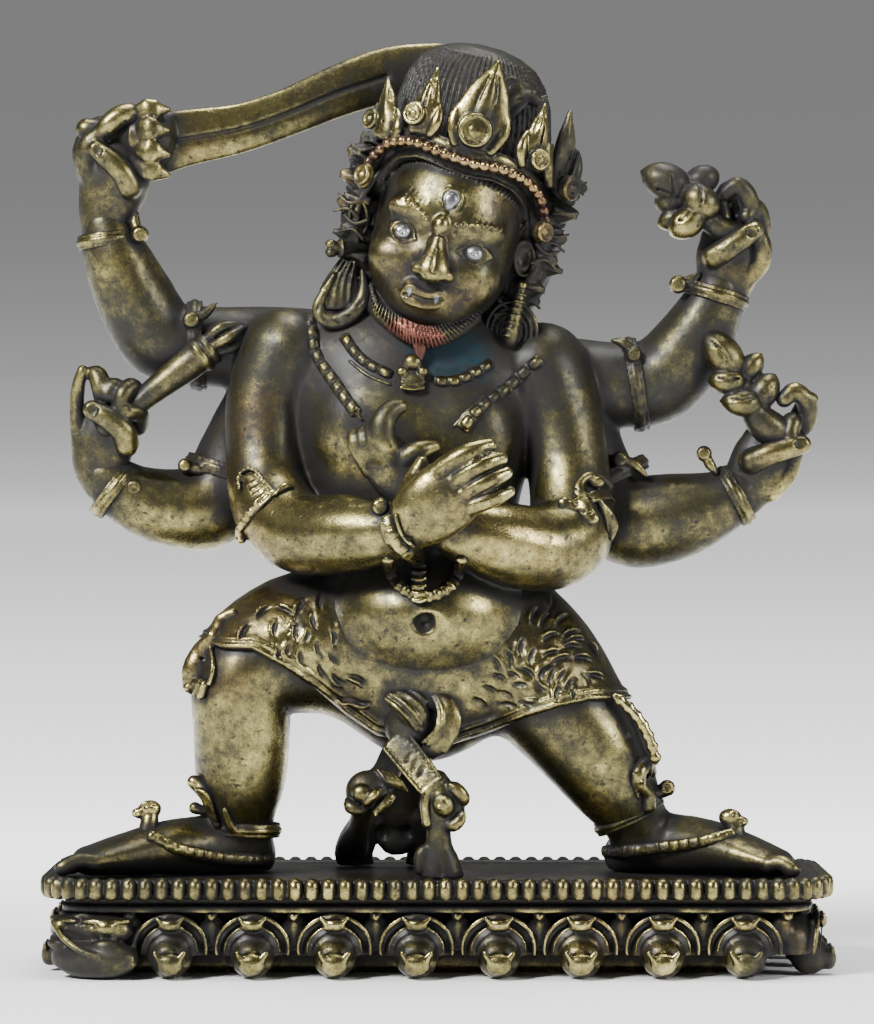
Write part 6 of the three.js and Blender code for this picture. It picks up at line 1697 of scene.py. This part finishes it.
def petals_clay():
    clay = Clay((-82, -35, -0.8), (82, 35, 14.6), STEPS["plinth"])
    clay.add(plan_block(11, 4.4, 13.6))
    length = around(PETAL_INSET)
    count = round(length / PETAL_PITCH)
    pitch = length / count
    spots = []
    for k in range(count):
        distance = PETAL_SHIFT + (k + 0.5) * pitch
        spots.append((distance, min(abs(on_plan(distance, PETAL_INSET)[1])) > 0.2))
        petal(clay, *spots[-1])
        # the tip of a petal behind, between this one and the last
        place, turn = plan_frame(PETAL_SHIFT + k * pitch, PETAL_INSET)
        clay.add(ball(place(0, -1.4, 9.6), (2.4, 2.4, 3.6), turn), 0.3)
        crest(clay, place, turn, 12.4, 0.8, 1.4, 2)
    clay.cut(plan_block(-6, -3, LOBE_FOOT), 0.3)
    for spot in spots:
        petal_foot(clay, *spot)
    clay.add(upright((0, 0, 2.4), (PLAN_LENGTH / 2 - FOOT_INSET, PLAN_DEPTH / 2 - FOOT_INSET, 2.5), 2.0))
    return clay.keep(lambda x, y, z: -z + 0 * x + 0 * y)


# How deep and how proud each place is, and the light and shade painted on it

def blurred(field, radius):
    """The field averaged over a box of the given radius in cells, twice."""
    for _ in range(2):
        for axis in range(3):
            first, last = np.take(field, [0], axis), np.take(field, [-1], axis)
            padded = np.concatenate([first] * (radius + 1) + [field] + [last] * radius, axis)
            total = np.cumsum(padded, axis, dtype=np.float64)
            size = field.shape[axis]
            upper = np.take(total, range(2 * radius + 1, 2 * radius + 1 + size), axis)
            lower = np.take(total, range(size), axis)
            field = ((upper - lower) / (2 * radius + 1)).astype(np.float32)
    return field


def averaged(filled, radius):
    """A coarse block of how full the clay is within a radius, in cells."""
    clay = Clay(whole.low, whole.low + whole.step, whole.step)
    clay.count, clay.field = whole.count, blurred(filled, radius)
    return clay


# How much darker each piece is painted: partly its dark patina, partly painted shade; below zero, painted
# brighter
PIECE_PATINA_AND_SHADE = {"face": 0.14, "hair": 0.8, "ears": 0.5, "armlets": 0.2, "necklaces": -0.3, "hands_front": -0.3,
        "sash": 0.45, "crown": 0.16}


def patina_and_painted_light_by_place(name, x, y, z):
    """How much darker than usual each place of a piece is painted, as the photograph shows it: partly
    patina, partly painted shade, and painted highlight where it is below zero.
    """
    # dark over the chest and the upper arms, and painted shadow over the top of the hair at the left
    darker = PIECE_PATINA_AND_SHADE.get(name, 0.0) + 0.9 * bump(z, 116, 18) * bump(x, -5, 52)
    darker = darker + 0.9 * np.clip((z - 150) / 6, 0, 1) * np.clip((x - 20) / 4, 0, 1)
    # painted highlights on the right thigh, the lower right arm and the forearms in front
    darker = darker - 0.8 * bump(z, 72, 22) * bump(x, -48, 24)
    darker = darker - 0.3 * bump(z, 87, 13) * np.clip(-0.8 - y / 10, 0, 1)
    if name == "crown":
        # painted shade under the line of its beads
        across, depth, up = head_local(x, y, z)
        band = np.interp(np.degrees(np.arctan2(across, 1 - depth)), *np.array(CROWN_LINE).T)
        darker = darker + 0.5 * np.clip(band - 0.6 - up, 0, 1)
    # dark towards the soles
    darker = darker + 0.4 * (1 - np.clip((z - 24) / 8, 0, 1)) * (z > PLINTH_TOP)
    if name == "hands_front":
        # painted shade on the hand behind, which is darker than the open one
        darker = darker + 0.55 * np.clip((y + 29) / 2, 0, 1)
    if name == "ears":
        # a painted highlight on the left one
        darker = darker - 0.4 * (x > 0)
    if name == "sash":
        # dark at its foot and on the bordered end
        darker = darker + 0.5 * np.clip((30 - z) / 4, 0, 1) + 0.45 * bump(z, 41.5, 5) * bump(x, -5.5, 6)
    # the plinth's ends: dark behind the feet, and painted shade under the last petals
    darker = darker + 0.5 * bump(np.abs(x), 74, 12) * bump(z, 23, 5)
    return darker + 0.9 * (np.abs(x) > 59) * np.clip((10 - z) / 3, 0, 1)


def shade(castings):
    """Writes on each mesh its hollows, as patina and painted shade, its proud crests, and its painted light
    and patina by place.
    """
    filled = np.clip(0.5 - whole.field / whole.step, 0, 1)
    close, wide = averaged(filled, 2), averaged(filled, 6)
    for piece, points in castings:
        mesh = piece.data
        normals = np.empty(len(points) * 3, np.float32)
        mesh.vertex_normals.foreach_get("vector", normals)
        normals = normals.reshape(-1, 3)
        # painted shade, with patina, where the clay of any piece closes in: in recesses, creases and
        # between parts
        near = np.clip(whole.at(points + normals * 1.6) / 1.5, 0, 1)
        far = np.clip(whole.at(points + normals * 4.5) / 4, 0, 1)
        deep = np.clip((wide.at(points) - 0.54) * 3, 0, 1)
        write(mesh, "hollow_patina_and_shade", np.clip(0.5 * (1 - near) + 0.5 * (1 - far) + 0.6 * deep, 0, 1))
        write(mesh, "crest", np.clip(0.5 + 1.8 * (0.47 - close.at(points)), 0, 1))
        x, y, z = points.T
        # painted light: brighter towards the front, which faces the lamps, darker behind; then the painted
        # shade, highlights and patina of each place
        front = np.clip(0.5 - np.minimum(y, y / 3) / 30, 0, 1)
        write(mesh, "painted_light_and_patina", np.clip(front - patina_and_painted_light_by_place(piece.name, x, y, z), -0.8, 1))


# Materials

class Nodes:
    """The node tree of a material or of the world, built a node at a time."""

    def __init__(self, owner, output):
        self.owner = owner
        owner.use_nodes = True
        self.tree = owner.node_tree
        self.tree.nodes.clear()
        self.output = self.tree.nodes.new(output)

    def link(self, value, socket):
        if isinstance(value, bpy.types.NodeSocket):
            self.tree.links.new(value, socket)
        else:
            socket.default_value = value

    def make(self, kind, inputs=None, **settings):
        node = self.tree.nodes.new(kind)
        for key, value in settings.items():
            setattr(node, key, value)
        for key, value in (inputs or {}).items():
            self.link(value, node.inputs[key])
        return node

    def math(self, operation, *values, clamp=False):
        node = self.make("ShaderNodeMath", operation=operation, use_clamp=clamp)
        for value, socket in zip(values, node.inputs):
            self.link(value, socket)
        return node.outputs[0]

    def scaled(self, value, factor, start):
        """start plus the value times a factor, clamped to 0..1."""
        return self.math("MULTIPLY_ADD", value, factor, start, clamp=True)

    def centred(self, value):
        return self.math("SUBTRACT", value, 0.5)

    def total(self, start, *terms):
        """start plus each (value, factor), clamped to 0..1 at the end."""
        value = start
        for term, factor in terms:
            value = self.math("MULTIPLY_ADD", term, factor, value)
        return self.math("ADD", value, 0.0, clamp=True)

    def attribute(self, name):
        return self.make("ShaderNodeAttribute", attribute_name=name).outputs["Fac"]

    def noise(self, scale, detail=4.0, roughness=0.6, distortion=0.0):
        place = self.make("ShaderNodeTexCoord").outputs["Object"]
        node = self.make("ShaderNodeTexNoise", {"Vector": place, "Scale": scale, "Detail": detail,
                "Roughness": roughness, "Distortion": distortion})
        return node.outputs["Fac"]

    def ramp(self, value, stops):
        node = self.make("ShaderNodeValToRGB", {"Fac": value})
        bar = node.color_ramp.elements
        while len(bar) < len(stops):
            bar.new(0.5)
        for element, (place, colour) in zip(bar, stops):
            element.position = place
            element.color = (*colour, 1)
        return node.outputs["Color"]

    def mix(self, share, first, second):
        node = self.make("ShaderNodeMix", data_type="RGBA")
        for value, socket in ((share, 0), (first, 6), (second, 7)):
            self.link((*value, 1) if isinstance(value, tuple) else value, node.inputs[socket])
        return node.outputs[2]


# The brass from its darkest, in patina and painted shade, to its brightest, on worn edges and painted
# highlights
BRASS = [
    (0.0, (0.016, 0.015, 0.014)), (0.18, (0.034, 0.032, 0.023)), (0.36, (0.092, 0.083, 0.042)),
    (0.55, (0.25, 0.215, 0.08)), (0.76, (0.56, 0.49, 0.205)), (1.0, (0.95, 0.88, 0.5)),
]
REDDISH = (0.36, 0.17, 0.06)
# The inlays where dark and where bright, following the brass's tone with its painted light and shade, and
# the blue-green stain
COPPER = ((0.045, 0.018, 0.013), (0.22, 0.08, 0.06))
SILVER = ((0.07, 0.07, 0.08), (0.5, 0.5, 0.51))
STAIN = (0.008, 0.03, 0.042)


def brass(name, brightness):
    n = Nodes(bpy.data.materials.new(name), "ShaderNodeOutputMaterial")
    hollow_patina_and_shade, crest, painted_light_and_patina = (n.attribute(mark) for mark in ("hollow_patina_and_shade", "crest", "painted_light_and_patina"))
    patches, mottle = n.noise(60, 4, 0.55), n.noise(420, 6, 0.7, 0.3)
    grain = n.noise(2300, 5, 0.75)
    blotches = n.noise(170, 5, 0.65, 0.4)
    specks = n.scaled(n.noise(820, 3, 0.55), 9.0, -5.5)
    place = n.make("ShaderNodeTexCoord").outputs["Object"]
    cells = n.make("ShaderNodeTexVoronoi", {"Vector": place, "Scale": 430.0,
            "Randomness": 1.0}).outputs["Distance"]
    pits = n.math("MULTIPLY", n.scaled(cells, -5.0, 1.0), n.scaled(mottle, 7.0, -3.4))
    # the tone carries painted shade in hollows and painted light by place, besides the worn crests, patina
    # and random mottling
    tone = n.total(brightness - 0.72, (crest, 0.5), (painted_light_and_patina, 0.34), (n.centred(patches), 0.7),
                   (n.centred(mottle), 0.8), (n.centred(grain), 0.5), (n.centred(blotches), 0.6),
                   (hollow_patina_and_shade, -0.85), (specks, -0.3), (pits, -0.35))
    warm = n.scaled(n.noise(38, 3, 0.5), 4.0, -2.2)
    colour = n.mix(n.math("MULTIPLY", warm, n.math("MULTIPLY", tone, 0.42)), n.ramp(tone, BRASS), REDDISH)
    copper, silver, stain = (n.attribute(mark) for mark in ("copper", "silver", "stain"))
    worn_and_lit = n.scaled(tone, 1.3, 0.05)
    colour = n.mix(n.math("MULTIPLY", copper, 0.93), colour, n.mix(worn_and_lit, *COPPER))
    colour = n.mix(silver, colour, n.mix(worn_and_lit, *SILVER))
    stained = n.math("MULTIPLY", stain, n.scaled(mottle, 3.0, -0.8))
    colour = n.mix(stained, colour, STAIN)
    roughness = n.total(0.55, (painted_light_and_patina, -0.1), (tone, -0.35), (n.centred(grain), 0.22), (stained, 0.2),
            (hollow_patina_and_shade, 0.12))
    height = n.math("MULTIPLY", pits, -0.4)
    for texture, share in ((specks, -0.25), (grain, 0.2), (mottle, 0.45)):
        height = n.math("MULTIPLY_ADD", texture, share, height)
    relief = n.make("ShaderNodeBump", {"Height": height, "Strength": 0.4, "Distance": 0.0003}).outputs[0]
    shader = n.make("ShaderNodeBsdfPrincipled", {
        "Base Color": colour, "Roughness": roughness, "Metallic": n.scaled(tone, 2.4, 0.3),
        "Normal": relief, "Coat Weight": 0.12, "Coat Roughness": 0.3, "Specular IOR Level": 0.25})
    n.link(shader.outputs[0], n.output.inputs["Surface"])
    return n.owner


# Floor, light and camera

# Brightness of the floor by its share of the way down from the horizon, and of the backdrop by height
FLOOR_SHINE = [(0.0, 0.89), (0.068, 0.89), (0.216, 1.2), (0.348, 1.56), (0.48, 1.82), (0.612, 2.25),
               (0.744, 2.9), (1.0, 2.8)]
FLOOR_STRENGTH = 2.8
BACKDROP = [(0.0, 0.89), (0.005, 0.68), (0.018, 0.47), (0.032, 0.36), (0.045, 0.295), (0.058, 0.249),
            (0.072, 0.225), (0.1, 0.215)]
FLOOR_RADIUS = 12.0
FLOOR_ALBEDO = 0.93


def grey(value):
    return (value, value, value * 1.005)


def floor():
    """A pale floor that takes shadows near the object and, behind it, glows with painted light that fades
    towards the horizon.
    """
    bpy.ops.mesh.primitive_circle_add(vertices=96, radius=FLOOR_RADIUS, fill_type="NGON")
    ground = bpy.context.object
    ground.name = "floor"
    n = Nodes(bpy.data.materials.new("pale_floor"), "ShaderNodeOutputMaterial")
    place = n.make("ShaderNodeTexCoord").outputs["Object"]
    behind = n.make("ShaderNodeSeparateXYZ", {0: place}).outputs["Y"]
    share = n.make("ShaderNodeMapRange", {"Value": behind, "From Min": 0.03, "From Max": 0.28},
                   interpolation_type="SMOOTHERSTEP").outputs["Result"]
    metres = VIEW_DISTANCE / MM
    down = n.math("DIVIDE", metres, n.math("ADD", behind, metres))
    shine = n.ramp(down, [(place, grey(value / FLOOR_STRENGTH)) for place, value in FLOOR_SHINE])
    pale = n.make("ShaderNodeBsdfDiffuse", {"Color": (*grey(FLOOR_ALBEDO), 1)})
    glow = n.make("ShaderNodeEmission", {"Color": shine, "Strength": FLOOR_STRENGTH})
    both = n.make("ShaderNodeMixShader", {0: share, 1: pale.outputs[0], 2: glow.outputs[0]})
    n.link(both.outputs[0], n.output.inputs["Surface"])
    ground.data.materials.append(n.owner)


def sky():
    """A grey studio: paler low down behind the object, dim on the camera's side."""
    n = Nodes(bpy.data.worlds.new("studio"), "ShaderNodeOutputWorld")
    bpy.context.scene.world = n.owner
    way = n.make("ShaderNodeSeparateXYZ", {0: n.make("ShaderNodeTexCoord").outputs["Generated"]}).outputs
    dim = n.make("ShaderNodeMapRange", {"Value": way["Y"], "From Min": -0.5, "From Max": 0.3, "To Min": 0.4,
            "To Max": 1.0}).outputs[0]
    colour = n.ramp(way["Z"], [(height, grey(value)) for height, value in BACKDROP])
    light = n.make("ShaderNodeBackground", {"Color": colour, "Strength": dim})
    n.link(light.outputs[0], n.output.inputs["Surface"])


def lamp(name, place, target, size, power):
    light = bpy.data.lights.new(name, "AREA")
    light.shape = "DISK"
    light.size, light.energy = size, power
    holder = bpy.data.objects.new(name, light)
    holder.location = place
    holder.rotation_euler = (Vector(target) - Vector(place)).to_track_quat("-Z", "Y").to_euler()
    bpy.context.collection.objects.link(holder)


def camera():
    lens = bpy.data.cameras.new("camera")
    lens.sensor_width, lens.lens, lens.clip_start = SENSOR_MM, LENS_MM, 0.01
    holder = bpy.data.objects.new("camera", lens)
    holder.location = (0, -VIEW_DISTANCE / MM, VIEW_HEIGHT / MM)
    holder.rotation_euler = (math.pi / 2, 0, 0)
    bpy.context.collection.objects.link(holder)
    bpy.context.scene.camera = holder


# Casting the pieces, and the stage

body = body_clay()
hands_front = [open_hand(), hooked_hand()]
hands_right = [sword_hand(), bolt_hand()]
hands_left = [spray_hand_upper(), spray_hand_lower()]
skirt = skirt_clay()
flesh = [body, *hands_front, *hands_right, *hands_left, skirt]
beard_marks = [head_ball((-0.6, -10, -20.2), (6.4, 6, 2.6)), head_ball((1.2, -11, -22.8), (2.2, 3, 3.4))]
eye_marks = [
    *(head_ball((x, -12, z), (1.45, 5, 1.3)) for x, z in EYES),
    *(head_ball((THIRD_EYE[0], -14, THIRD_EYE[1] + dz), (wide, 5, wide))
      for dz, wide in ((0.4, 1.55), (-1.2, 0.8))),
    *(head_ball((x, -14.2, -12.4), (0.4, 1, 0.8)) for x in FANGS),
]

figure = [
    cast("body", [body], {"stain": [ball(seen(3, -8, 122), (9, 8, 6))]}),
    cast("hands_front", hands_front),
    cast("hands_right", hands_right),
    cast("hands_left", hands_left),
    cast("skirt", [skirt]),
    cast("pelt_trim", pelt_clay(flesh)),
    cast("sash", [sash_clay()]),
    cast("armlets", armlets_clay(flesh)),
    cast("bracelets", bracelets_clay(flesh)),
    cast("anklets", anklets_clay(flesh)),
    cast("necklaces", [necklaces_clay(flesh)]),
    cast("face", [face_clay()], {"copper": beard_marks, "silver": eye_marks}),
    cast("hair", [hair_clay()], adaptivity=0.1),
    cast("ears", [ears_clay()]),
    cast("crown", [crown_clay()], {"copper": crown_beads()}),
    cast("sword", [sword_clay()]),
    cast("thunderbolt", [bolt_clay()]),
    cast("bud_sprays", sprays_clay()),
]
plinth = [
    cast("plinth_rim", [rim_clay()], adaptivity=0.12),
    cast("plinth_petals", [petals_clay()], adaptivity=0.12),
]
shade(castings)

figure_brass = brass("worn_brass", 0.62)
plinth_brass = brass("worn_dark_brass", 0.5)
for piece in figure + plinth:
    on_plinth = piece in plinth
    piece.data.materials.append(plinth_brass if on_plinth else figure_brass)
    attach(piece, "root")
    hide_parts("lotus_plinth" if on_plinth else "figure")

floor()
sky()
lamp("key", (-0.7, -0.8, 0.85), (0, 0, 0.08), 0.4, 34)
lamp("fill", (0.95, -0.55, 0.45), (0, 0, 0.09), 0.4, 8)
lamp("top", (0.1, 0.1, 1.1), (0, 0, 0.09), 0.6, 12)
camera()
